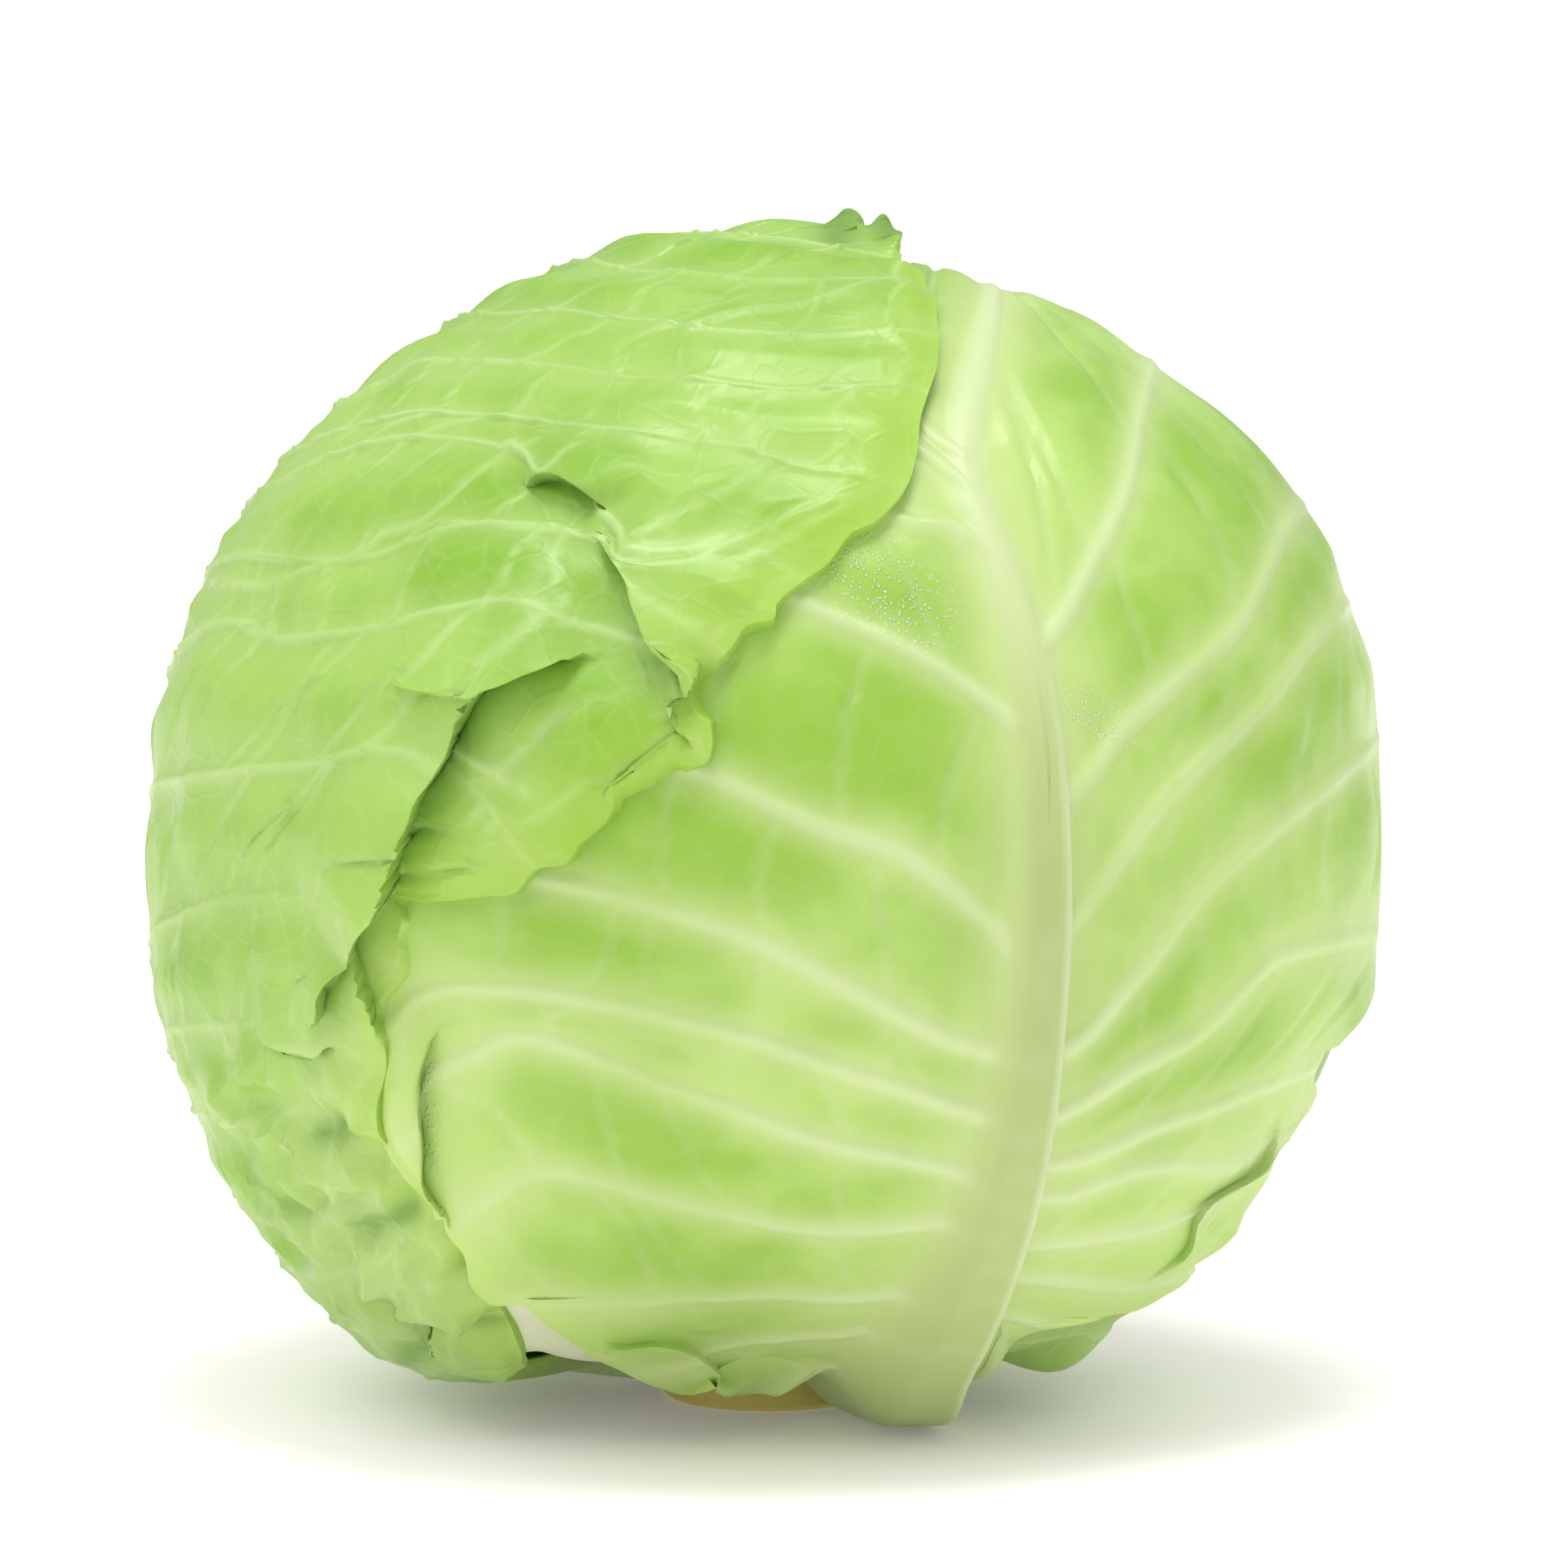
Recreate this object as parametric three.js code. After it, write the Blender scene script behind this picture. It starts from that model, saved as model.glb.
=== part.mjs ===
// A head of white cabbage, trimmed for sale and standing on the cut face of its stalk.
// Millimetres, +Z up. The origin is the centre of the stalk's cut face, and the front of the head faces -Y.
// Four wrapper leaves lie as nested shells round the packed heart. Each grows from beside the stalk, climbs
// the head along its rib and closes over the top, and each keeps to a layer of its own, so that the margin
// of one stands clear on the next. Veins, folds and rolled margins are raised from the layer by formulas.
import * as THREE from "three";

const DEGREE = Math.PI / 180;

// The whole head. OUTLINE is its radius every 15 degrees, anticlockwise from the right, as seen from the
// front, VIEW_RISE above the horizon, at VIEW_DISTANCE. DEPTH is the radius towards the viewer and away.
const CENTRE_HEIGHT = 84;
const OUTLINE = [
  93.6, 94.6, 95.4, 93.4, 91.6, 89.5, 88.8, 89, 88.3, 89.2, 90.5, 91.2,
  91.2, 93.2, 94, 95.6, 95, 88.5, 84.5, 88.5, 93, 95.2, 94.4, 94.6,
];
const DEPTH = 88;
const VIEW_RISE = 8 * DEGREE;
const VIEW_DISTANCE = 2000;
const FRONT = [0, -Math.cos(VIEW_RISE), Math.sin(VIEW_RISE)];
const RIGHT = [1, 0, 0];
const UP = [0, Math.sin(VIEW_RISE), Math.cos(VIEW_RISE)];

// The underside is flattened this far above the ground, and hollowed a little more round the stalk.
const UNDERSIDE_HEIGHT = 3;
const UNDERSIDE_HOLLOW = 7;
const HOLLOW_RADIUS = 22;
const UNDERSIDE_BLEND = 8;

// The stalk, and the angle up from straight down at which the leaves leave it.
const STALK_RADIUS = 15.6;
const STALK_WAIST = 14.6;
const STALK_HEIGHT = 17;
const LEAF_START = 13.4;

// Layers: how far below the head's surface the outer face of each lies.
const LAYER = { left: 0, front: 2.9, back: 6, inner: 8.5, heart: 12.2 };
const BLADE = 1;
const LOWEST_RIB = 0.3;

const clamp = (x, low, high) => Math.min(Math.max(x, low), high);
const dot = (a, b) => a[0] * b[0] + a[1] * b[1] + a[2] * b[2];
const cross = (a, b) => [a[1] * b[2] - a[2] * b[1], a[2] * b[0] - a[0] * b[2], a[0] * b[1] - a[1] * b[0]];
const times = (a, s) => a.map((x) => x * s);
const plus = (a, b) => a.map((x, i) => x + b[i]);
const minus = (a, b) => a.map((x, i) => x - b[i]);
const unit = (a) => times(a, 1 / Math.hypot(...a));
const smooth = (x) => clamp(x, 0, 1) ** 2 * (3 - 2 * clamp(x, 0, 1));

// The smooth curve through values, which are lists of numbers, at rising knots.
function curve(knots, values, x) {
  const last = knots.length - 1;
  let i = 0;
  while (i < last - 1 && x > knots[i + 1]) i++;
  const span = knots[i + 1] - knots[i];
  const u = clamp((x - knots[i]) / span, 0, 1);
  const slope = (j) => {
    const a = Math.max(j - 1, 0);
    const b = Math.min(j + 1, last);
    return times(minus(values[b], values[a]), span / (knots[b] - knots[a]));
  };
  const [from, to] = [slope(i), slope(i + 1)];
  return values[i].map((p, c) => {
    const q = values[i + 1][c];
    const blend = u * u * (3 - 2 * u);
    return p + (q - p) * blend + u * (1 - u) * ((1 - u) * from[c] - u * to[c]);
  });
}

// A number that changes smoothly along stops of [place, value].
function along(stops, x) {
  return curve(stops.map((s) => s[0]), stops.map((s) => [s[1]]), x)[0];
}

function outline(angle) {
  const step = 360 / OUTLINE.length;
  const turn = ((angle / DEGREE / step) % OUTLINE.length + OUTLINE.length) % OUTLINE.length;
  const i = Math.floor(turn);
  const at = (j) => [OUTLINE[(i + j + OUTLINE.length) % OUTLINE.length]];
  return curve([-1, 0, 1, 2], [at(-1), at(0), at(1), at(2)], turn - i)[0];
}

// The head's radius from its centre in a direction.
function headRadius(d) {
  const facing = dot(d, FRONT);
  const side = outline(Math.atan2(dot(d, UP), dot(d, RIGHT)));
  const round = 1 / Math.sqrt((1 - facing ** 2) / side ** 2 + facing ** 2 / DEPTH ** 2);
  if (d[2] > -0.2) return round;
  const drop = CENTRE_HEIGHT - UNDERSIDE_HEIGHT;
  const fromStalk = (drop * Math.hypot(d[0], d[1])) / -d[2];
  const flat = (drop - UNDERSIDE_HOLLOW * Math.exp(-((fromStalk / HOLLOW_RADIUS) ** 2))) / -d[2];
  const blend = Math.max(UNDERSIDE_BLEND - Math.abs(round - flat), 0) / UNDERSIDE_BLEND;
  return Math.min(round, flat) - (blend ** 2 * UNDERSIDE_BLEND) / 4;
}

// Directions from the head's centre. seen() takes a place in the front view, across and up from the centre:
// beyond the outline it goes on round the back. around() takes an azimuth from the front towards +X and a
// rise from straight down, and sideways() swings from there to the right of a rib climbing at that azimuth.
function seen([across, up]) {
  const angle = Math.atan2(up, across);
  const size = outline(angle);
  const depthAt = (reach) => DEPTH * Math.sqrt(1 - Math.min(reach, 2 - reach) ** 2);
  const raw = Math.hypot(across, up) / size;
  const reach = raw < 1 ? raw * (1 - depthAt(raw) / VIEW_DISTANCE) : raw;
  const apparent = Math.min(reach, 2 - reach) * size;
  const depth = reach < 1 ? depthAt(reach) : -depthAt(reach);
  const flat = plus(times(RIGHT, apparent * Math.cos(angle)), times(UP, apparent * Math.sin(angle)));
  return unit(plus(flat, times(FRONT, depth)));
}

function around(azimuth, rise) {
  const level = Math.sin(rise * DEGREE);
  return [
    level * Math.sin(azimuth * DEGREE),
    -level * Math.cos(azimuth * DEGREE),
    -Math.cos(rise * DEGREE),
  ];
}

function sideways(azimuth, rise, swing) {
  const side = [Math.cos(azimuth * DEGREE), Math.sin(azimuth * DEGREE), 0];
  return plus(times(around(azimuth, rise), Math.cos(swing * DEGREE)), times(side, Math.sin(swing * DEGREE)));
}

const seenAll = (points) => points.map(seen);

// Lines on the head are lists of directions, and distances along and from them are in millimetres at DEPTH.
function lengths(line) {
  const sums = [0];
  for (let i = 1; i < line.length; i++) sums.push(sums[i - 1] + Math.hypot(...minus(line[i], line[i - 1])));
  return sums;
}

function resample(line, count) {
  const sums = lengths(line);
  const total = sums[sums.length - 1];
  return Array.from({ length: count + 1 }, (_, i) => unit(curve(sums, line, (total * i) / count)));
}

// How far d is from a line, how far along the line the nearest place is, from 0 to 1, and on which side d
// lies: 1 on the left of the line's run as seen from outside, -1 on its right.
function nearest(d, line) {
  let best = { distance: Infinity };
  for (let i = 0; i + 1 < line.length; i++) {
    const step = minus(line[i + 1], line[i]);
    const share = clamp(dot(minus(d, line[i]), step) / dot(step, step), 0, 1);
    const distance = DEPTH * Math.hypot(...minus(d, plus(line[i], times(step, share))));
    if (distance < best.distance) {
      const side = Math.sign(dot(d, cross(line[i], line[i + 1]))) || 1;
      best = { distance, place: (i + share) / (line.length - 1), side };
    }
  }
  return best;
}

// A rounded ridge: 1 on its crest and 0 from halfWidth outwards.
const ridge = (distance, halfWidth) => (distance < halfWidth ? (1 - (distance / halfWidth) ** 2) ** 2 : 0);

// A fold in a blade: the side given stands up by height along the line, and sinks back over spread.
function foldLift(d, { line, side, height, spread }) {
  const hit = nearest(d, line);
  const ends = smooth(hit.place * 5) * smooth((1 - hit.place) * 5);
  const onTop = hit.side * side > 0;
  const shape = onTop ? Math.exp(-((hit.distance / spread) ** 2)) : 1 - smooth(hit.distance / FOLD_EDGE);
  return height * ends * shape;
}
const FOLD_EDGE = 1.2;

// A leaf. rib is its rib from the stalk to the tip. left and right are its rows as seen from outside, base
// first: each starts on the rib and runs to the margin, and every row but the first and last carries a vein.
const ROW_POINTS = 8;
const RIB_POINTS = 60;

function makeLeaf(spec) {
  const rib = resample(spec.rib, RIB_POINTS);
  const halves = ["left", "right"].map((name) => {
    const rows = spec[name].map((row) => ({ at: nearest(row[0], rib).place, line: row }));
    rows[0].at = 0;
    rows[rows.length - 1].at = 1;
    const lines = rows.map(({ at, line }) => {
      const start = rib[Math.round(at * RIB_POINTS)];
      return resample([start, ...line.slice(1)], ROW_POINTS);
    });
    return { knots: rows.map((r) => r.at), lines, edge: spec[name + "Edge"] };
  });
  return { ...spec, rib, halves };
}

// The direction at a share t of the rib and a share v, from -1 at the left margin to 1 at the right.
function leafDirection(leaf, t, v) {
  const half = leaf.halves[v < 0 ? 0 : 1];
  const ribKnots = leaf.rib.map((_, i) => i / RIB_POINTS);
  const points = half.lines[0].map((_, i) =>
    i === 0 ? curve(ribKnots, leaf.rib, t) : curve(half.knots, half.lines.map((line) => line[i]), t),
  );
  return unit(curve(points.map((_, i) => i / ROW_POINTS), points, Math.abs(v)));
}

// How far the outer face stands proud of the leaf's layer at a direction.
function leafRelief(leaf, d, t, v) {
  const onRib = nearest(d, leaf.rib);
  const ribHeight = along(leaf.ribHeight, onRib.place);
  let lift = ribHeight * ridge(onRib.distance, along(leaf.ribWidth, onRib.place));
  for (const half of leaf.halves) {
    half.lines.slice(1, -1).forEach((line) => {
      const hit = nearest(d, line);
      const height = leaf.veinHeight * (1 - 0.7 * hit.place);
      lift = Math.max(lift, height * ridge(hit.distance, leaf.veinWidth * (1 - 0.4 * hit.place)));
    });
  }
  if (!leaf.waves) return lift;
  const margin = smooth((Math.abs(v) - 0.82) / 0.18);
  const height = along(v < 0 ? leaf.waves.left : leaf.waves.right, t);
  return lift + height * margin * (0.5 + 0.5 * Math.sin(leaf.waves.count * Math.PI * 2 * t));
}

// How far the whole blade is lifted off its layer, outer and inner face alike.
function leafLift(leaf, d, t) {
  let lift = leaf.tipLift ? along(leaf.tipLift, t) : 0;
  for (const fold of leaf.folds ?? []) lift += foldLift(d, fold);
  for (const { line, height, halfWidth } of leaf.rolls ?? []) {
    const hit = nearest(d, line);
    lift += height * ridge(hit.distance, halfWidth) * smooth(hit.place * 4) * smooth((1 - hit.place) * 4);
  }
  return lift;
}

function leafPoint(leaf, t, v, face) {
  const d = leafDirection(leaf, t, v);
  const lift = leafLift(leaf, d, t) + (face === "outer" ? leafRelief(leaf, d, t, v) : -BLADE);
  const p = times(d, headRadius(d) - leaf.layer + lift);
  return [p[0], p[1], Math.max(p[2] + CENTRE_HEIGHT, LOWEST_RIB)];
}

// The closed sheet between an outer grid of points and an inner one that has every second row of it.
function sheetGeometry(outer, inner) {
  const [rows, columns] = [outer.length - 1, outer[0].length - 1];
  const outerAt = (i, j) => i * (columns + 1) + j;
  const innerAt = (i, j) => (rows + 1) * (columns + 1) + (i / 2) * (columns + 1) + j;
  const index = [];
  for (let j = 0; j < columns; j++) {
    for (let i = 0; i < rows; i++) {
      const [a, b, c, e] = [outerAt(i, j), outerAt(i, j + 1), outerAt(i + 1, j + 1), outerAt(i + 1, j)];
      index.push(a, b, c, a, c, e);
    }
    for (let i = 0; i < rows; i += 2) {
      const [a, b, c, e] = [innerAt(i, j), innerAt(i, j + 1), innerAt(i + 2, j + 1), innerAt(i + 2, j)];
      index.push(a, c, b, a, e, c);
    }
    const [a, b, c, e] = [outerAt(0, j), outerAt(0, j + 1), innerAt(0, j + 1), innerAt(0, j)];
    index.push(a, c, b, a, e, c);
    const [f, g, h, k] = [outerAt(rows, j), outerAt(rows, j + 1), innerAt(rows, j + 1), innerAt(rows, j)];
    index.push(f, g, h, f, h, k);
  }
  for (let i = 0; i < rows; i += 2) {
    for (const [j, out] of [[0, false], [columns, true]]) {
      const [a, b, c] = [outerAt(i, j), outerAt(i + 1, j), outerAt(i + 2, j)];
      const [d, e] = [innerAt(i, j), innerAt(i + 2, j)];
      const fan = [[a, d, b], [b, d, e], [b, e, c]];
      for (const [p, q, r] of fan) index.push(...(out ? [p, q, r] : [p, r, q]));
    }
  }
  const geometry = new THREE.BufferGeometry();
  const positions = [...outer.flat(2), ...inner.flat(2)];
  geometry.setAttribute("position", new THREE.Float32BufferAttribute(positions, 3));
  geometry.setIndex(index);
  geometry.computeVertexNormals();
  return geometry;
}

// Rows of the grid lie on every vein and midway between, so that each vein has a crest of its own.
function rowPlaces(leaf) {
  const knots = leaf.halves.flatMap((half) => half.knots).sort((a, b) => a - b);
  const kept = knots.filter((k, i) => i === 0 || (k < 1 && k - knots[i - 1] > CLOSEST_VEINS));
  kept.push(1);
  return kept.flatMap((k, i) => {
    if (i + 1 === kept.length) return [k];
    const gap = kept[i + 1] - k;
    const spans = [-1, -0.5, 0, 0.5, 1].map((v) => {
      return DEPTH * Math.hypot(...minus(leafDirection(leaf, k + gap, v), leafDirection(leaf, k, v)));
    });
    const pieces = 2 * Math.max(1, Math.round(Math.max(...spans) / (2 * ROW_STEP)));
    return Array.from({ length: pieces }, (_, n) => k + (gap * n) / pieces);
  });
}
const ROW_STEP = 7.5;
const CLOSEST_VEINS = 0.008;

// Columns stand closer together near the rib and at the margin.
function columnPlaces(count) {
  return Array.from({ length: count }, (_, i) => {
    const share = (i + 1) / count;
    return share * (0.55 + 0.9 * share - 0.45 * share ** 2);
  });
}

function leafMesh(leaf, material) {
  const rows = rowPlaces(leaf);
  const [left, right] = leaf.columns.map(columnPlaces);
  const columns = [...left.reverse().map((v) => -v), 0, ...right];
  const outer = rows.map((t) => columns.map((v) => leafPoint(leaf, t, v, "outer")));
  const innerRows = rows.filter((_, i) => i % 2 === 0);
  const inner = innerRows.map((t) => columns.map((v) => leafPoint(leaf, t, v, "inner")));
  const mesh = new THREE.Mesh(sheetGeometry(outer, inner), material);
  mesh.name = leaf.name;
  return mesh;
}

// The front leaf. Its broad pale rib leaves the stalk at the front right and bends once on its way up.
const frontLeaf = makeLeaf({
  name: "front_leaf",
  layer: LAYER.front,
  rib: [
    around(34, LEAF_START), around(33, 21),
    ...seenAll([[22, -78], [27, -71], [34.5, -55.5], [39, -37.5], [41.5, -16], [42, 2], [41, 18], [38, 33.5],
      [34, 45], [30, 55.5], [31, 67], [34, 80], [35.5, 94.5], [35.5, 108]]),
  ],
  right: [
    [around(34, LEAF_START), around(60, 15), around(76, 17)],
    [around(33, 21), around(50, 25), ...seenAll([[36, -74]])],
    seenAll([[26, -73], [36.5, -73], [42.5, -74.5], [48, -74.5]]),
    seenAll([[29.5, -67], [42, -67.5], [53.5, -69], [64, -66.5]]),
    seenAll([[32, -61], [42, -62], [56, -60.5], [65.5, -57], [77.5, -49.5]]),
    seenAll([[34, -56], [43.5, -55], [55.5, -51], [69, -49.5], [81.5, -43.5]]),
    seenAll([[36, -51], [44.5, -50], [59, -44.5], [75, -38.5], [85.5, -34]]),
    seenAll([[38, -43], [47.5, -41], [56, -35.5], [65.5, -30], [78.5, -18], [96.5, -12]]),
    seenAll([[39.5, -35], [48, -31], [57, -20], [65.5, -9.5], [75, -0.5], [90.5, 12], [100.5, 18]]),
    seenAll([[41.5, -16], [48, -11], [60.5, 6], [73.5, 18], [84.5, 32], [100, 40.5]]),
    seenAll([[42, 3.5], [48, 8], [54.5, 16.5], [64, 25], [71.5, 32], [78.5, 46.5], [90.5, 58]]),
    seenAll([[39.5, 26], [43.5, 31], [47.5, 38], [53.5, 50], [57, 66], [66.5, 91]]),
    seenAll([[31, 67], [37.5, 81.5], [46, 96], [52, 104]]),
    seenAll([[35.5, 108], [41.5, 110]]),
  ],
  left: [
    [around(34, LEAF_START), around(8, 15), around(-8, 17)],
    [around(33, 21), ...seenAll([[10, -81], [0, -82.5]])],
    seenAll([[25, -74], [10, -76], [-6, -78], [-20, -80.5]]),
    seenAll([[28.5, -68], [22, -69.5], [-5.5, -70.5], [-21, -70.5], [-37, -70]]),
    seenAll([[32.5, -60], [24.5, -59], [6.5, -60], [-7.5, -57.5], [-28, -52], [-37, -51.5], [-47.5, -60]]),
    seenAll([[35.5, -52], [27, -50.5], [6.5, -46], [-7.5, -41], [-25.5, -34], [-40, -31], [-58, -48]]),
    seenAll([[38, -43.5], [28, -41], [12.5, -36], [-11.5, -28.5], [-30.5, -24.5], [-50.5, -23.5],
      [-61, -32]]),
    seenAll([[39.5, -35], [28, -31], [10, -22], [-4.5, -15], [-24, -9], [-35, -6.5], [-57, -2]]),
    seenAll([[41.5, -20.5], [36, -15], [28.5, -8.5], [20, -2.5], [7, 2], [-9, 9.5], [-35.5, 18],
      [-51, 21.5]]),
    seenAll([[42, 2], [41.5, 12.5], [33, 21], [20, 29], [5.5, 35.5], [-17.5, 45.5], [-36.5, 52.5]]),
    seenAll([[38, 33.5], [33.5, 43.5], [28, 47], [20.5, 48], [0.5, 58.5], [-17.5, 69.5]]),
    seenAll([[32.5, 49], [30, 53.5], [22, 60], [6.5, 73], [-5.5, 84]]),
    seenAll([[31, 67], [24.5, 78], [16, 92], [11.5, 102]]),
    seenAll([[35.5, 108], [29.5, 110]]),
  ],
  ribHeight: [[0, 10], [0.1, 10], [0.22, 5.5], [0.4, 3], [0.6, 1.8], [1, 0.8]],
  ribWidth: [[0, 12], [0.12, 10.5], [0.2, 8.5], [0.29, 7], [0.37, 6.2], [0.45, 5], [0.6, 3.6], [1, 3]],
  veinHeight: 1.1,
  veinWidth: 4.2,
  waves: {
    count: 11,
    left: [[0, 0], [0.08, 0.8], [0.2, 0.6], [0.3, 0], [1, 0]],
    right: [[0, 0], [0.1, 0.9], [1, 0.5]],
  },
  columns: [11, 11],
  rolls: [
    {
      line: seenAll([[-49, -21], [-52, -30], [-53, -42], [-50.5, -53], [-46, -60]]),
      height: 2.4,
      halfWidth: 4,
    },
  ],
});

// The left leaf, the outermost. Its rib is at the back left, its veins run level across the front, and its
// margin is folded over on itself at the front and crumpled below.
const LEFT_RIB = -130;
const leftLeaf = makeLeaf({
  name: "left_leaf",
  layer: LAYER.left,
  rib: [
    ...[LEAF_START, 30, 50, 70, 90, 110, 130, 150, 168].map((rise) => around(LEFT_RIB, rise)),
    ...seenAll([[2, 90], [18.5, 87.5]]),
  ],
  right: [
    [around(LEFT_RIB, LEAF_START), around(-110, 15), around(-94, 17)],
    [around(LEFT_RIB, 20), around(-100, 26), around(-75, 33), ...seenAll([[-47, -79]])],
    [around(LEFT_RIB, 30), ...seenAll([[-66, -72], [-51, -73.5], [-40.5, -75]])],
    [around(LEFT_RIB, 37), ...seenAll([[-74, -63], [-62, -65], [-53.5, -66.5], [-44, -69]])],
    [around(LEFT_RIB, 43), ...seenAll([[-80, -53.5], [-65.5, -57.5], [-57, -57], [-49, -61]])],
    [around(LEFT_RIB, 49), ...seenAll([[-85, -42], [-74, -41.5], [-65.5, -43], [-56.5, -49.5]])],
    [around(LEFT_RIB, 55), ...seenAll([[-88.5, -30], [-78.5, -28], [-68, -29], [-57, -34]])],
    [around(LEFT_RIB, 62), ...seenAll([[-91, -16.5], [-84.5, -11], [-77.5, -9], [-65.5, -10.5],
      [-53.5, -20]])],
    [around(LEFT_RIB, 74), ...seenAll([[-91, 4.5], [-82.5, 9], [-72.5, 10], [-62, 11], [-51, 12.5],
      [-41.5, 5.5], [-34.5, -5]])],
    [around(LEFT_RIB, 90), ...seenAll([[-86, 28], [-78.5, 31.5], [-72.5, 29], [-59.5, 30], [-46.5, 32],
      [-36.5, 33.5], [-27, 31], [-17.5, 25.5], [-12.5, 19], [-9, 11]])],
    [around(LEFT_RIB, 97), ...seenAll([[-80, 40.5], [-62, 40.5], [-41.5, 45.5], [-24, 43], [-14, 34.5],
      [-6, 27]])],
    [around(LEFT_RIB, 104), ...seenAll([[-72.5, 51.5], [-59.5, 57.5], [-38, 57], [-30.5, 52.5],
      [-22.5, 46.5], [-14, 42], [-5.5, 42.5], [5.5, 38]])],
    [around(LEFT_RIB, 110), ...seenAll([[-68, 57], [-51, 62], [-38, 61.5], [-27, 60], [-8, 58], [6.5, 54],
      [20.5, 51.5]])],
    [around(LEFT_RIB, 120), ...seenAll([[-62, 63.5], [-52.5, 69], [-39, 69.5], [-24.5, 68], [-10.5, 67],
      [6.5, 66], [24, 66]])],
    [around(LEFT_RIB, 134), ...seenAll([[-42.5, 76.5], [-27, 76.5], [-11.5, 75], [6.5, 74], [25.5, 73.5]])],
    [around(LEFT_RIB, 150), ...seenAll([[-24.5, 84], [-15, 83], [1.5, 82], [23.5, 81]])],
    [around(LEFT_RIB, 168), ...seenAll([[4, 87], [20, 85]])],
    seenAll([[18.5, 87.5], [19.5, 86.5]]),
  ],
  left: [
    [LEAF_START, 12, 2], [20, 27, 6], [31, 42, 12], [43, 50, 16], [56, 53, 18], [70, 54, 20], [85, 54, 20],
    [101, 53, 20], [118, 51, 18], [135, 46, 14], [152, 37, 9], [168, 24, 5], [186, 7, 0],
  ].map(([rise, width, climb]) => sweptRow(LEFT_RIB, rise, -width, climb)),
  ribHeight: [[0, 9], [0.1, 8.5], [0.22, 4.5], [0.4, 2.6], [0.7, 1.6], [1, 0.6]],
  ribWidth: [[0, 13], [0.12, 13], [0.3, 8], [0.6, 5.5], [1, 3]],
  veinHeight: 1.2,
  veinWidth: 3.4,
  waves: {
    count: 15,
    left: [[0, 0], [0.1, 0.8], [1, 1.2]],
    right: [[0, 0], [0.1, 1.3], [0.4, 0.7], [1, 1.4]],
  },
  columns: [8, 16],
  tipLift: [[0, 0], [0.93, 0], [0.97, 0.9], [1, 3.4]],
  folds: [
    {
      line: seenAll([[-22, 29.5], [-33, 23.5], [-41.5, 21.5], [-46.5, 13], [-51, 2], [-55, -9], [-59, -15],
        [-58, -24], [-57.5, -31]]),
      side: -1,
      height: 3.6,
      spread: 22,
    },
    {
      line: seenAll([[-24.5, 43.5], [-18.5, 34.5], [-16.5, 28.5], [-13.5, 21.5]]),
      side: 1,
      height: 2.6,
      spread: 12,
    },
    {
      line: seenAll([[-57, -14], [-62, -18], [-66, -23], [-65, -27], [-68, -28]]),
      side: -1,
      height: 1.6,
      spread: 14,
    },
  ],
  rolls: [
    { line: seenAll([[-84, -36], [-70, -46], [-58, -52]]), height: 2, halfWidth: 7 },
    { line: seenAll([[-72, -60], [-60, -66], [-48, -66]]), height: 2, halfWidth: 6 },
  ],
});

// A row that swings width degrees sideways from the rib while it climbs.
function sweptRow(azimuth, rise, width, climb) {
  const shares = [0, 0.25, 0.5, 0.75, 1];
  return shares.map((share) => sideways(azimuth, rise + climb * share ** 0.8, width * share));
}

// The back leaf and the inner leaf. Rows are [rise, width on the left, width on the right, climb] in
// degrees. A foot row takes the place of the left one that leaves the rib at the same rise.
function evenLeaf(spec, azimuth, rows, foot = []) {
  const rib = rows.map(([rise]) => around(azimuth, rise));
  const left = rows.map(([rise, width, , climb]) => {
    const [, ...places] = foot.find((row) => row[0] === rise) ?? [];
    if (places.length === 0) return sweptRow(azimuth, rise, -width, climb);
    return [around(azimuth, rise), ...places.map((place) => around(...place))];
  });
  const right = rows.map(([rise, , width, climb]) => sweptRow(azimuth, rise, width, climb));
  return makeLeaf({ ...spec, rib, left, right });
}

const BACK_RIB = 135;
const BACK_ROWS = [
  [LEAF_START, 12, 12, 2], [20, 34, 30, 5], [30, 62, 48, 7], [42, 80, 60, 10], [56, 86, 68, 14],
  [70, 84, 72, 18], [86, 80, 73, 21], [103, 74, 71, 22], [121, 66, 66, 20], [139, 56, 56, 16],
  [157, 42, 42, 10], [173, 24, 24, 5], [187, 8, 8, 0],
];

// Low down, its left half reaches round under the front leaf. These rows are a rise on the rib, and then
// places of [azimuth, rise].
const BACK_FOOT = [
  [20, [100, 23], [68, 25], [50, 27]],
  [30, [100, 34], [66, 36], [43, 34]],
  [42, [100, 46], [64, 48], [38, 43]],
  [56, [100, 60], [63, 60], [37, 52]],
  [70, [100, 75], [64, 73], [38, 62]],
];
const backLeaf = evenLeaf(
  {
    name: "back_leaf",
    layer: LAYER.back,
    ribHeight: [[0, 12], [0.1, 11], [0.22, 5], [0.4, 1.8], [0.6, 0.7], [1, 0.5]],
    ribWidth: [[0, 12], [0.12, 12], [0.3, 8], [0.6, 5.5], [1, 3]],
    veinHeight: 0.8,
    veinWidth: 3.8,
    columns: [12, 9],
    rolls: [{ line: [around(60, 31), around(76, 30), around(94, 28)], height: 4.5, halfWidth: 12 }],
  },
  BACK_RIB,
  BACK_ROWS,
  BACK_FOOT,
);

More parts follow.
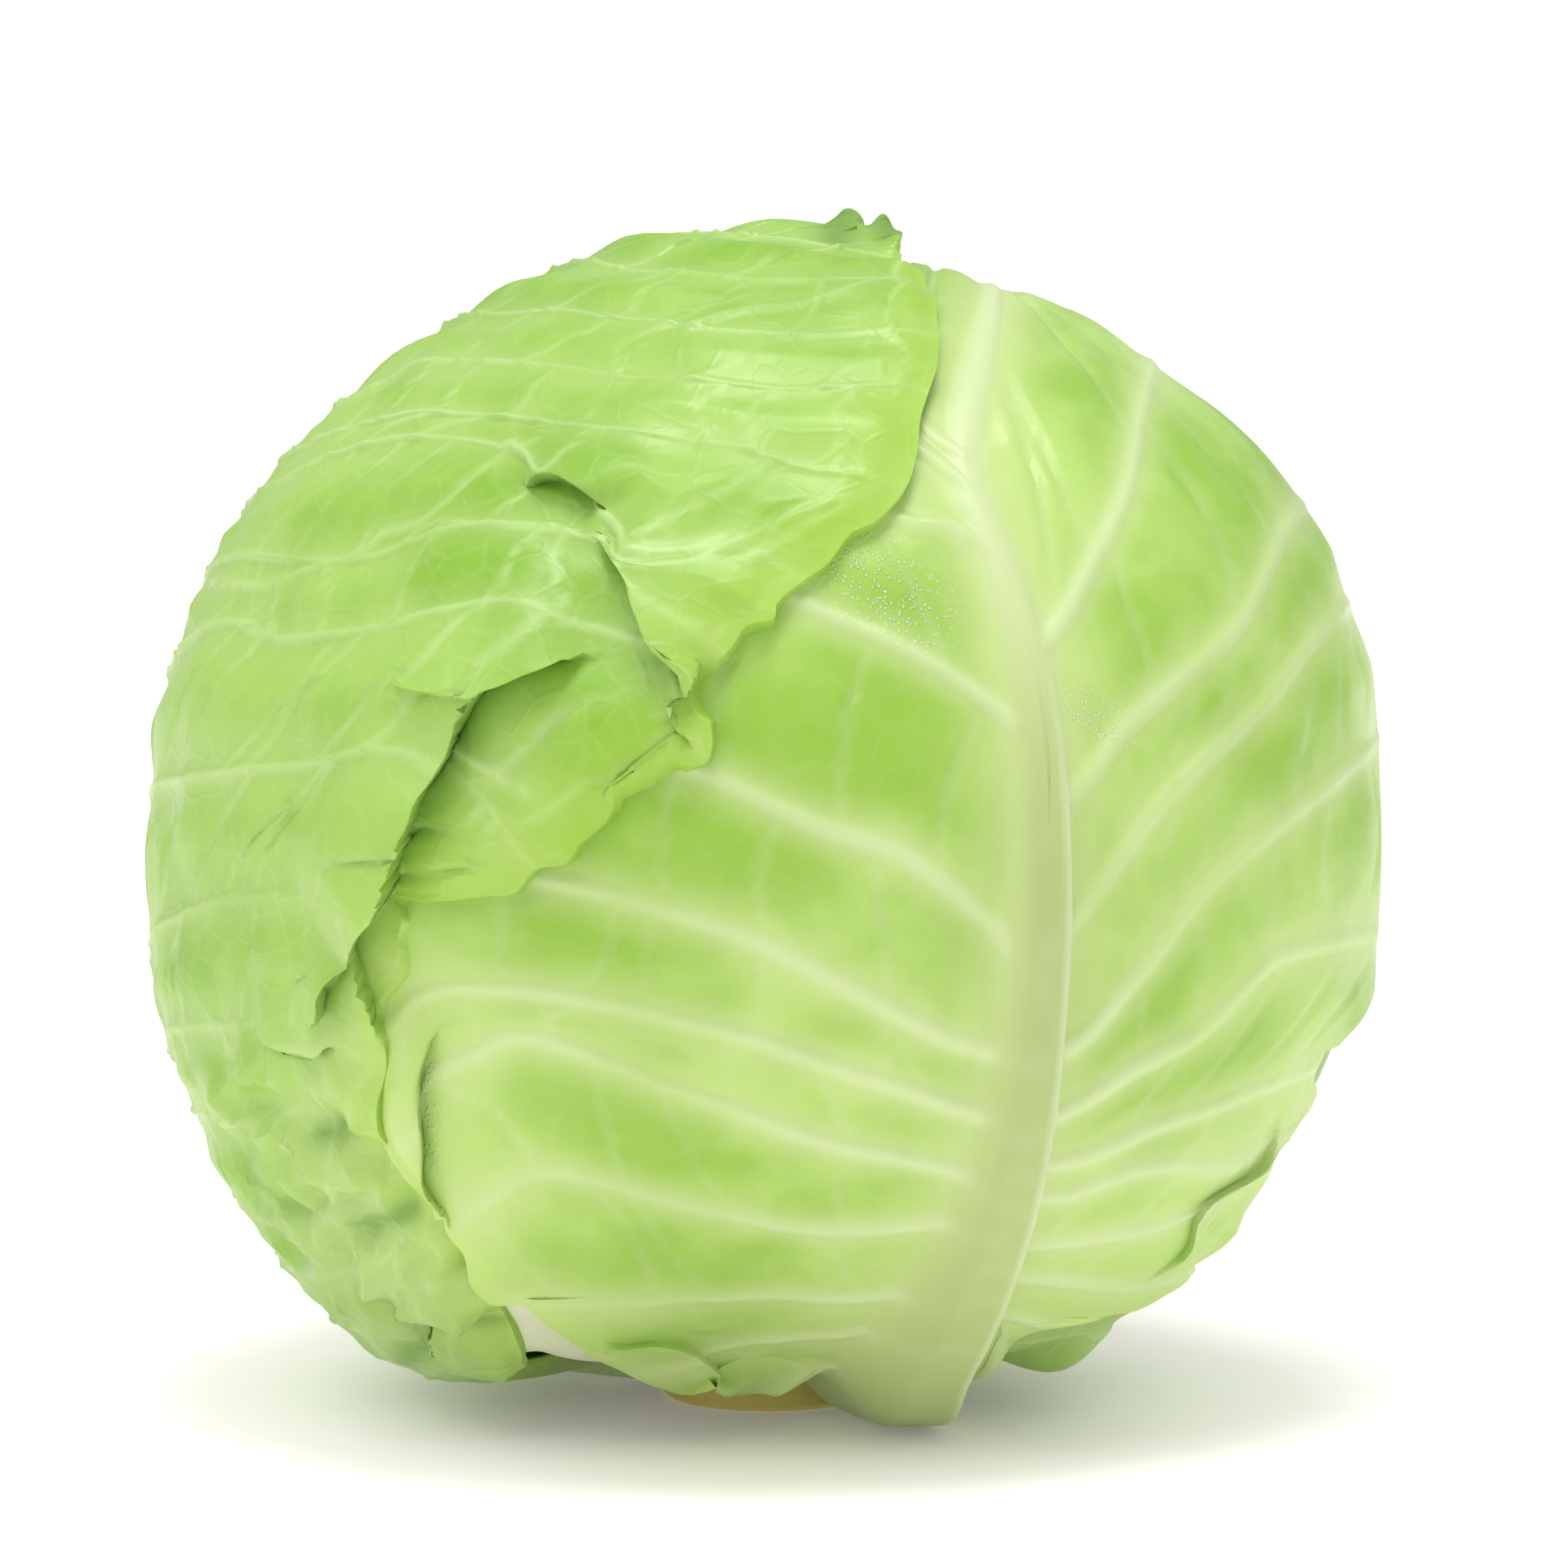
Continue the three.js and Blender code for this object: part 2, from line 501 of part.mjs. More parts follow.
const innerLeaf = evenLeaf(
  {
    name: "inner_leaf",
    layer: LAYER.inner,
    ribHeight: [[0, 4], [0.15, 3.4], [0.4, 1.4], [1, 0.6]],
    ribWidth: [[0, 12], [0.15, 13], [0.4, 8], [1, 3]],
    veinHeight: 0.7,
    veinWidth: 3.8,
    columns: [7, 7],
  },
  -38,
  [
    [LEAF_START, 12, 12, 2], [20, 28, 28, 6], [29, 40, 42, 9], [40, 48, 52, 12], [53, 55, 60, 15],
    [70, 58, 62, 16], [88, 56, 58, 16], [107, 48, 48, 14], [126, 33, 33, 9], [142, 9, 9, 0],
  ],
);

// The heart: tightly packed leaves, closed into one ball. The margins of its last leaves show as low steps.
const HEART_ROWS = 22;
const HEART_COLUMNS = 36;
const HEART_STEP = 0.9;
const HEART_MARGINS = [
  { azimuth: 70, tilt: 24 },
  { azimuth: 190, tilt: 30 },
  { azimuth: 310, tilt: 20 },
];

function heartRadius(d) {
  const steps = HEART_MARGINS.map(({ azimuth, tilt }) => {
    const across = dot(d, around(azimuth, 90 + tilt));
    return HEART_STEP * smooth(0.5 + (across - 0.35) * 12);
  });
  return headRadius(d) - LAYER.heart - steps.reduce((a, b) => a + b, 0);
}

function heartMesh(material) {
  const point = (d) => plus(times(d, heartRadius(d)), [0, 0, CENTRE_HEIGHT]);
  const positions = [point([0, 0, -1])];
  for (let i = 1; i < HEART_ROWS; i++) {
    for (let j = 0; j < HEART_COLUMNS; j++) {
      positions.push(point(around((j * 360) / HEART_COLUMNS, (i * 180) / HEART_ROWS)));
    }
  }
  positions.push(point([0, 0, 1]));
  const at = (i, j) => 1 + (i - 1) * HEART_COLUMNS + (j % HEART_COLUMNS);
  const top = positions.length - 1;
  const index = [];
  for (let j = 0; j < HEART_COLUMNS; j++) {
    index.push(0, at(1, j + 1), at(1, j), top, at(HEART_ROWS - 1, j), at(HEART_ROWS - 1, j + 1));
    for (let i = 1; i + 1 < HEART_ROWS; i++) {
      index.push(at(i, j), at(i, j + 1), at(i + 1, j + 1), at(i, j), at(i + 1, j + 1), at(i + 1, j));
    }
  }
  const geometry = new THREE.BufferGeometry();
  geometry.setAttribute("position", new THREE.Float32BufferAttribute(positions.flat(), 3));
  geometry.setIndex(index);
  geometry.computeVertexNormals();
  const mesh = new THREE.Mesh(geometry, material);
  mesh.name = "heart";
  return mesh;
}

// The stalk, cut off level below the leaves. Its cut face is the flat spot that the head stands on.
const STALK_SIDES = 28;
const CUT_CHAMFER = 0.8;

function stalkMesh(material) {
  const profile = [
    [0, 0],
    [STALK_RADIUS - CUT_CHAMFER, 0],
    [STALK_RADIUS, CUT_CHAMFER],
    [STALK_WAIST, STALK_HEIGHT * 0.4],
    [STALK_WAIST - 1, STALK_HEIGHT],
    [0, STALK_HEIGHT],
  ].map(([x, y]) => new THREE.Vector2(x, y));
  const geometry = new THREE.LatheGeometry(profile, STALK_SIDES);
  const mesh = new THREE.Mesh(geometry, material);
  mesh.rotation.x = Math.PI / 2;
  mesh.name = "stalk";
  return mesh;
}

const leafFinish = (color) => new THREE.MeshStandardMaterial({ color, roughness: 0.45, metalness: 0 });

const cabbage = new THREE.Group();
cabbage.add(
  stalkMesh(new THREE.MeshStandardMaterial({ color: 0xd9c27a, roughness: 0.75, metalness: 0 })),
  heartMesh(leafFinish(0xdfe8c4)),
  leafMesh(innerLeaf, leafFinish(0xcfe0ae)),
  leafMesh(backLeaf, leafFinish(0xa9cf74)),
  leafMesh(frontLeaf, leafFinish(0xb9d886)),
  leafMesh(leftLeaf, leafFinish(0x9dcd66)),
);

export default cabbage;
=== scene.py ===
# A head of white cabbage standing on the cut face of its stalk, in metres, +Z up, seen from the front (-Y).
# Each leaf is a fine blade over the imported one: same rib, rows and layer, with its veins, folds and waved
# margin worked up. Points on the head are in millimetres, as (across, up) from its centre in the front view.
import math

import bpy
import numpy as np
from mathutils import Matrix, Vector, noise


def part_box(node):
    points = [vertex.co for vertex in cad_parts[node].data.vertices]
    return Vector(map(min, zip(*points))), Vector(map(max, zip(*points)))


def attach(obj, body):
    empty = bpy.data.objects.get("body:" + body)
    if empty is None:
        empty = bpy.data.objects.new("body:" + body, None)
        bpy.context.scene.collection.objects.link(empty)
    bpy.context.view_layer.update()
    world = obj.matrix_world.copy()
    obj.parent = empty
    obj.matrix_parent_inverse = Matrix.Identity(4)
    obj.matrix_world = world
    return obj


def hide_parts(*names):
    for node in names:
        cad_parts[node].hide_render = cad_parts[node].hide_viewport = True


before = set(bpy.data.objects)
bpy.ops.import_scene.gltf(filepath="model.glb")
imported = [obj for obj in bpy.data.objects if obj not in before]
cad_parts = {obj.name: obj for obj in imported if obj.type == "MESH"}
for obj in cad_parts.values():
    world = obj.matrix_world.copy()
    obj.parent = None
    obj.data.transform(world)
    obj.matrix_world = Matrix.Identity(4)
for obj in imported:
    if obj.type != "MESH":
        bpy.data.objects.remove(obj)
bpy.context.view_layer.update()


# Stalk: the stump that the leaves grow from, sawn or cut off level just below them. It is woody and dry at
# the cut, with a ring of fibre under the rind. It carries the whole head.
MM = 0.001
CUT_RADIUS = 15.6 * MM
WAIST_RADIUS = 14.6 * MM
STALK_HEIGHT = 17 * MM
CUT_CHAMFER = 0.8 * MM
STALK_SIDES = 128
PITH_RADIUS = 11.5 * MM
PITH_HOLLOW = 0.5 * MM
SHARP_ANGLE = math.radians(50)


def smooth(x):
    x = np.clip(x, 0, 1)
    return x * x * (3 - 2 * x)


def add_mesh(name, points, faces, material, layers=None):
    """A smooth-shaded object, with a number for each vertex in each named layer."""
    mesh = bpy.data.meshes.new(name)
    mesh.from_pydata([tuple(p) for p in points], [], [tuple(f) for f in faces])
    for layer, values in (layers or {}).items():
        attribute = mesh.attributes.new(layer, "FLOAT", "POINT")
        attribute.data.foreach_set("value", np.asarray(values, dtype=np.float32))
    mesh.polygons.foreach_set("use_smooth", [True] * len(mesh.polygons))
    mesh.materials.append(material)
    mesh.update()
    mesh.set_sharp_from_angle(angle=SHARP_ANGLE)
    piece = bpy.data.objects.new(name, mesh)
    bpy.context.scene.collection.objects.link(piece)
    return piece


class Finish:
    """A material with a Principled shader, and short words for the nodes that feed it."""

    def __init__(self, name, **sockets):
        self.material = bpy.data.materials.new(name)
        self.material.use_nodes = True
        self.nodes = self.material.node_tree.nodes
        self.links = self.material.node_tree.links
        self.shader = self.nodes["Principled BSDF"]
        for socket, value in sockets.items():
            self.shader.inputs[socket.replace("_", " ")].default_value = value

    def node(self, kind, feeds=None, **settings):
        made = self.nodes.new("ShaderNode" + kind)
        for key, value in settings.items():
            setattr(made, key, value)
        for socket, value in (feeds or {}).items():
            if isinstance(value, bpy.types.NodeSocket):
                self.links.new(value, made.inputs[socket])
            else:
                made.inputs[socket].default_value = value
        return made

    def layer(self, name):
        return self.node("Attribute", attribute_name=name).outputs["Fac"]

    def place(self):
        return self.node("TexCoord").outputs["Object"]

    def noise(self, scale, place, detail=3.0, rough=0.55):
        feeds = {"Vector": place, "Scale": scale, "Detail": detail, "Roughness": rough}
        return self.node("TexNoise", feeds).outputs["Fac"]

    def math(self, operation, a, b=0.0, c=0.0):
        made = self.node("Math", operation=operation)
        for socket, value in enumerate((a, b, c)):
            if isinstance(value, bpy.types.NodeSocket):
                self.links.new(value, made.inputs[socket])
            else:
                made.inputs[socket].default_value = value
        return made.outputs[0]

    def span(self, value, low, high, to_low=0.0, to_high=1.0):
        feeds = {"Value": value, 1: low, 2: high, 3: to_low, 4: to_high}
        return self.node("MapRange", feeds, interpolation_type="SMOOTHSTEP").outputs[0]

    def mix(self, share, a, b):
        feeds = {0: share, 6: a, 7: b}
        return self.node("Mix", feeds, data_type="RGBA").outputs[2]

    def bump(self, height, distance, strength=1.0):
        feeds = {"Height": height, "Distance": distance, "Strength": strength}
        return self.node("Bump", feeds).outputs["Normal"]

    def wire(self, socket, value):
        self.links.new(value, self.shader.inputs[socket])


def stalk_material():
    finish = Finish("dry_cut_stalk", Roughness=0.8, Subsurface_Weight=0.1, Subsurface_Scale=0.002)
    place = finish.place()
    fibre = finish.noise(420, place, 4)
    ring = finish.span(finish.layer("ring"), 0.35, 0.65)
    pith = finish.mix(fibre, (0.80, 0.66, 0.36, 1), (0.88, 0.80, 0.56, 1))
    rind = finish.mix(fibre, (0.74, 0.60, 0.13, 1), (0.86, 0.76, 0.28, 1))
    finish.wire("Base Color", finish.mix(ring, pith, rind))
    finish.wire("Normal", finish.bump(fibre, 0.0004))
    return finish.material


def stalk_mesh():
    levels = [(0, PITH_HOLLOW), (PITH_RADIUS * 0.6, PITH_HOLLOW * 0.9), (PITH_RADIUS, PITH_HOLLOW * 0.5)]
    levels += [(PITH_RADIUS + 1.2 * MM, 0), (CUT_RADIUS - CUT_CHAMFER, 0), (CUT_RADIUS, CUT_CHAMFER)]
    levels += [(WAIST_RADIUS, STALK_HEIGHT * 0.4), (WAIST_RADIUS - MM, STALK_HEIGHT), (0, STALK_HEIGHT)]
    points, rings = [], []
    for radius, height in levels[1:-1]:
        for side in range(STALK_SIDES):
            angle = 2 * math.pi * side / STALK_SIDES
            points.append((radius * math.cos(angle), radius * math.sin(angle), height))
            rings.append(smooth((radius - PITH_RADIUS) / (2 * MM)))
    faces = []
    for level in range(len(levels) - 3):
        for side in range(STALK_SIDES):
            a = level * STALK_SIDES + side
            b = level * STALK_SIDES + (side + 1) % STALK_SIDES
            faces.append((a, b, b + STALK_SIDES, a + STALK_SIDES))
    bottom, top = len(points), len(points) + 1
    points += [(0, 0, levels[0][1]), (0, 0, levels[-1][1])]
    rings += [0, 0]
    last = (len(levels) - 3) * STALK_SIDES
    for side in range(STALK_SIDES):
        following = (side + 1) % STALK_SIDES
        faces.append((bottom, following, side))
        faces.append((top, last + side, last + following))
    return points, faces, rings


stalk_points, stalk_faces, stalk_rings = stalk_mesh()
stalk = add_mesh("cut_stalk", stalk_points, stalk_faces, stalk_material(), {"ring": stalk_rings})
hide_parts("stalk")
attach(stalk, "root")


# Heart: the tightly packed inner leaves, pale and waxy, which show only between the feet of the wrapper
# leaves. They grow round one another, and each ends in a low step where its margin lies on the next.
HEAD_CENTRE = np.array([0, 0, 84]) * MM
HEAD_OUTLINE = np.array([
    93.6, 94.6, 95.4, 93.4, 91.6, 89.5, 88.8, 89, 88.3, 89.2, 90.5, 91.2,
    91.2, 93.2, 94, 95.6, 95, 88.5, 84.5, 88.5, 93, 95.2, 94.4, 94.6,
]) * MM
HEAD_DEPTH = 88 * MM
VIEW_RISE = math.radians(8)
VIEW_DISTANCE = 2.0
FRONT = np.array([0, -math.cos(VIEW_RISE), math.sin(VIEW_RISE)])
RIGHT = np.array([1.0, 0, 0])
UP = np.array([0, math.sin(VIEW_RISE), math.cos(VIEW_RISE)])
UNDERSIDE_HEIGHT = 3 * MM
UNDERSIDE_HOLLOW = 7 * MM
HOLLOW_RADIUS = 22 * MM
UNDERSIDE_BLEND = 8 * MM
LAYER = {"left": 0, "front": 2.9 * MM, "back": 6 * MM, "inner": 8.5 * MM, "heart": 12.2 * MM}
HEART_ROWS = 120
HEART_COLUMNS = 200
HEART_STEP = 0.9 * MM
HEART_MARGINS = [(70, 24), (190, 30), (310, 20)]
NET_SCALES = (150.0, 340.0)
DROP_SCALE = 1250.0
FAINT_NETWORK = 0.1


def curve(knots, values, x):
    """The smooth curve through values, one row for each rising knot, at every x."""
    knots = np.asarray(knots, float)
    values = np.asarray(values, float)
    x = np.asarray(x, float)
    last = len(knots) - 1
    after = np.minimum(np.arange(last + 1) + 1, last)
    before = np.maximum(np.arange(last + 1) - 1, 0)
    shape = (-1,) + (1,) * (values.ndim - 1)
    slopes = (values[after] - values[before]) / (knots[after] - knots[before]).reshape(shape)
    i = np.clip(np.searchsorted(knots, x, side="left") - 1, 0, last - 1)
    span = (knots[i + 1] - knots[i]).reshape(shape)
    u = np.clip((x - knots[i]).reshape(shape) / span, 0, 1)
    rise = u * u * (3 - 2 * u)
    bend = u * (1 - u) * span * ((1 - u) * slopes[i] - u * slopes[i + 1])
    return values[i] + (values[i + 1] - values[i]) * rise + bend


def stops(pairs, x):
    places, values = zip(*pairs)
    flat = np.asarray(x, float).ravel()
    return curve(places, np.array(values, float)[:, None], flat)[:, 0].reshape(np.shape(x))


def unit(vectors):
    return vectors / np.linalg.norm(vectors, axis=-1, keepdims=True)


def outline(angle):
    count = len(HEAD_OUTLINE)
    turn = np.mod(np.asarray(angle) / math.radians(360 / count), count)
    wrapped = HEAD_OUTLINE[np.arange(-1, count + 2) % count]
    return curve(np.arange(-1, count + 2), wrapped[:, None], np.ravel(turn))[:, 0].reshape(np.shape(turn))


def head_radius(d):
    """The head's radius from its centre in each direction, with the underside flattened."""
    facing = d @ FRONT
    side = outline(np.arctan2(d @ UP, d @ RIGHT))
    round_radius = 1 / np.sqrt((1 - facing ** 2) / side ** 2 + facing ** 2 / HEAD_DEPTH ** 2)
    down = np.maximum(-d[..., 2], 0.2)
    drop = HEAD_CENTRE[2] - UNDERSIDE_HEIGHT
    from_stalk = drop * np.hypot(d[..., 0], d[..., 1]) / down
    flat = (drop - UNDERSIDE_HOLLOW * np.exp(-(from_stalk / HOLLOW_RADIUS) ** 2)) / down
    blend = np.maximum(UNDERSIDE_BLEND - np.abs(round_radius - flat), 0) / UNDERSIDE_BLEND
    low = np.minimum(round_radius, flat) - blend ** 2 * UNDERSIDE_BLEND / 4
    return np.where(d[..., 2] > -0.2, round_radius, low)


def around(azimuth, rise):
    """Directions by azimuth from the front towards +X and by rise from straight down, in degrees."""
    azimuth, rise = np.radians(azimuth), np.radians(rise)
    level = np.sin(rise)
    return np.stack([level * np.sin(azimuth), -level * np.cos(azimuth), -np.cos(rise)], axis=-1)


def leaf_finish(name, mottle_and_shade, fresh, pale, vein_and_highlight, rib, edge, gloss, network, dewy=False):
    """A living leaf: waxy skin over a net of fine veins, paler along the ribs and brighter at the edge, with
    painted shade and a painted rib highlight.
    """
    finish = Finish(name, Specular_IOR_Level=0.4)
    place = finish.place()
    wander = finish.node("TexNoise", {"Vector": place, "Scale": 60.0, "Detail": 2.0}).outputs["Color"]
    shift = finish.node("VectorMath", {0: wander, 1: (0.008, 0.008, 0.008)}, operation="MULTIPLY")
    warped = finish.node("VectorMath", {0: place, 1: shift.outputs[0]}, operation="ADD").outputs[0]
    cells = []
    for scale in NET_SCALES:
        feeds = {"Vector": warped, "Scale": scale}
        cells.append(finish.node("TexVoronoi", feeds, feature="DISTANCE_TO_EDGE").outputs["Distance"])
    mesh_veins = finish.math("MULTIPLY", finish.span(cells[0], 0.10, 0.0), network)
    fine_veins = finish.math("MULTIPLY", finish.span(cells[1], 0.16, 0.0), network)
    cloud = finish.noise(24.0, place, 4.0)
    blade = finish.mix(finish.span(cloud, 0.36, 0.62), mottle_and_shade, fresh)
    # Darker patches: partly the blade's own mottle, partly painted shade in pockets and under folds.
    blade = finish.mix(finish.layer("mottle_and_shade"), blade, mottle_and_shade)
    blade = finish.mix(finish.layer("pale"), blade, pale)
    blade = finish.mix(finish.math("MULTIPLY", mesh_veins, 0.5), blade, vein_and_highlight)
    blade = finish.mix(finish.math("MULTIPLY", fine_veins, 0.25), blade, vein_and_highlight)
    faded = finish.span(finish.noise(17.0, place, 2.0), 0.34, 0.58, 0.3, 0.9)
    blade = finish.mix(finish.math("MULTIPLY", finish.layer("vein_and_highlight"), faded), blade, vein_and_highlight)
    blade = finish.mix(finish.math("MULTIPLY", finish.layer("margin"), 0.5), blade, edge)
    # Over the rib this layer is a painted highlight along the rib's steep edge.
    lit_edge = finish.math("MULTIPLY", finish.layer("vein_and_highlight"), 0.8)
    blade = finish.mix(finish.layer("rib"), blade, finish.mix(lit_edge, rib, vein_and_highlight))
    if dewy:
        grains = finish.node("TexVoronoi", {"Vector": place, "Scale": DROP_SCALE}).outputs["Distance"]
        drops = finish.math("MULTIPLY", finish.span(grains, 0.42, 0.2), finish.layer("dew"))
        blade = finish.mix(finish.math("MULTIPLY", drops, 0.5), blade, (0.9, 0.95, 0.8, 1))
    # Painted shade: the creases under folds and the listed shaded spots are darkened to a dark green.
    blade = finish.mix(finish.layer("painted_shade"), blade, (0.08, 0.22, 0.01, 1))
    finish.wire("Base Color", blade)
    skin = finish.span(finish.noise(60.0, place), 0.3, 0.7, gloss, gloss + 0.14)
    relief = finish.math("MULTIPLY", finish.noise(900.0, place, 2.0), 0.1)
    # A net fainter than this is only painted, since its relief doesn't show.
    if network > FAINT_NETWORK:
        away = finish.math("SUBTRACT", 1.0, finish.layer("rib"))
        relief = finish.math("MULTIPLY_ADD", finish.math("MULTIPLY", mesh_veins, away), 0.8, relief)
    relief = finish.math("MULTIPLY_ADD", finish.noise(130.0, place, 3.0), 0.5, relief)
    if dewy:
        skin = finish.math("MULTIPLY_ADD", drops, -0.25, skin)
        relief = finish.math("MULTIPLY_ADD", drops, 0.5, relief)
    finish.wire("Roughness", skin)
    finish.wire("Normal", finish.bump(relief, 0.0004))
    return finish


def heart_radius(d):
    radius = head_radius(d) - LAYER["heart"]
    for azimuth, tilt in HEART_MARGINS:
        across = d @ around(azimuth, 90 + tilt)
        radius = radius - HEART_STEP * smooth(0.5 + (across - 0.35) * 40)
    return radius


def heart_mesh():
    rise = np.linspace(0, 180, HEART_ROWS + 1)[1:-1, None]
    azimuth = np.linspace(0, 360, HEART_COLUMNS, endpoint=False)[None, :]
    grid = around(azimuth + 0 * rise, rise + 0 * azimuth)
    directions = np.concatenate([grid.reshape(-1, 3), [[0, 0, -1], [0, 0, 1]]])
    points = directions * heart_radius(directions)[:, None] + HEAD_CENTRE
    rows = HEART_ROWS - 1
    index = np.arange(rows * HEART_COLUMNS).reshape(rows, HEART_COLUMNS)
    following = np.roll(index, -1, axis=1)
    quads = np.stack([index[:-1], following[:-1], following[1:], index[1:]], axis=-1).reshape(-1, 4)
    bottom, top = rows * HEART_COLUMNS, rows * HEART_COLUMNS + 1
    faces = [tuple(q) for q in quads]
    faces += [(bottom, b, a) for a, b in zip(index[0], following[0])]
    faces += [(top, a, b) for a, b in zip(index[-1], following[-1])]
    return points, faces


PALE = {
    "mottle_and_shade": (0.44, 0.56, 0.18, 1), "fresh": (0.58, 0.68, 0.28, 1), "pale": (0.72, 0.78, 0.52, 1),
    "vein_and_highlight": (0.74, 0.80, 0.52, 1), "rib": (0.80, 0.83, 0.60, 1), "edge": (0.60, 0.74, 0.26, 1),
    "gloss": 0.42, "network": 0.15,
}
heart_finish = leaf_finish("packed_heart", **PALE)
heart_points, heart_faces = heart_mesh()
LEAF_LAYERS = ("vein_and_highlight", "rib", "margin", "pale", "mottle_and_shade", "dew", "painted_shade")
heart_layers = {layer: np.zeros(len(heart_points)) for layer in LEAF_LAYERS}
heart = add_mesh("packed_heart", heart_points, heart_faces, heart_finish.material, heart_layers)
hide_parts("heart")
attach(heart, "root")


# Inner leaf: the wrapper leaf at the lower left front, whose waxy white rib foot shows between the margins of
# the two leaves outside it. It is grown from the stalk and clasps the heart.
LEAF_START = 13.4
BLADE = 1 * MM
EDGE_BLADE = 0.65 * MM
LOWEST_RIB = 0.3 * MM
NET_COLUMNS = 8
RIB_POINTS = 60
VEIN_POINTS = 40
MARGIN_PLACES = 500
MARGIN_EASE = 30
STRIDE = 1 * MM
VEIN_REACH = 12 * MM
VEIN_HALO = 7 * MM
LIT_EDGE = 1.8 * MM
QUILT_REACH = 11 * MM
CALM_REACH = 5 * MM
BOX_EASE = 1.5 * MM
THINNEST_FOOT = 0.0002
FOLD_POINTS = 48
FOLD_FADE = 10 * MM
FOLD_SUNK = 0.3
FOLD_GATHER = 0.94
FOLD_SNAP = 1.3 * MM
FOLD_REACH = 4 * MM
FOLD_SHADE = 0.5
FULL_CREASE = 2.4 * MM
SHADE_ON_FOLD = 0.6 * MM
SHADE_UNDER_FOLD = 2.2 * MM


def sideways(azimuth, rise, swing):
    side = np.array([math.cos(math.radians(azimuth)), math.sin(math.radians(azimuth)), 0])
    return around(azimuth, rise) * math.cos(math.radians(swing)) + side * math.sin(math.radians(swing))


def swept_row(azimuth, rise, width, climb):
    shares = (0, 0.25, 0.5, 0.75, 1)
    return [sideways(azimuth, rise + climb * share ** 0.8, width * share) for share in shares]


def swept_leaf(azimuth, rows):
    """The rib and both lists of rows, from rows of (rise, width on the left, width on the right, climb)."""
    rib = [around(azimuth, rise) for rise, _, _, _ in rows]
    left = [swept_row(azimuth, rise, -width, climb) for rise, width, _, climb in rows]
    right = [swept_row(azimuth, rise, width, climb) for rise, _, width, climb in rows]
    return rib, left, right


def sums_along(line):
    """How far along a line each of its points is."""
    return np.concatenate([[0], np.cumsum(np.linalg.norm(np.diff(line, axis=0), axis=1))])


def resample(line, count):
    line = np.asarray(line, float)
    sums = sums_along(line)
    return unit(curve(sums, line, np.linspace(0, sums[-1], count + 1)))


def nearest(d, line, reach=None):
    """How far each direction is from a line, how far along it the nearest place is, and on which side."""
    shape = d.shape[:-1]
    d = d.reshape(-1, 3)
    distance = np.full(len(d), 1.0)
    place = np.zeros(len(d))
    side = np.ones(len(d))
    line = np.asarray(line, float)
    chosen = np.arange(len(d))
    if reach is not None:
        middle = unit(line.mean(axis=0))
        extent = np.linalg.norm(line - middle, axis=1).max() + reach / HEAD_DEPTH
        chosen = np.nonzero(np.linalg.norm(d - middle, axis=1) < extent)[0]
    near = d[chosen]
    best, found_place, found_side = distance[chosen], place[chosen], side[chosen]
    for i in range(len(line) - 1):
        step = line[i + 1] - line[i]
        share = np.clip(((near - line[i]) @ step) / (step @ step), 0, 1)
        gap = HEAD_DEPTH * np.linalg.norm(near - line[i] - share[:, None] * step, axis=1)
        closer = gap < best
        best = np.where(closer, gap, best)
        found_place = np.where(closer, (i + share) / (len(line) - 1), found_place)
        turned = np.where(near @ np.cross(line[i], line[i + 1]) < 0, -1, 1)
        found_side = np.where(closer, turned, found_side)
    distance[chosen], place[chosen], side[chosen] = best, found_place, found_side
    return distance.reshape(shape), place.reshape(shape), side.reshape(shape)


def ridge(distance, half_width):
    return np.clip(1 - (distance / half_width) ** 2, 0, 1) ** 2


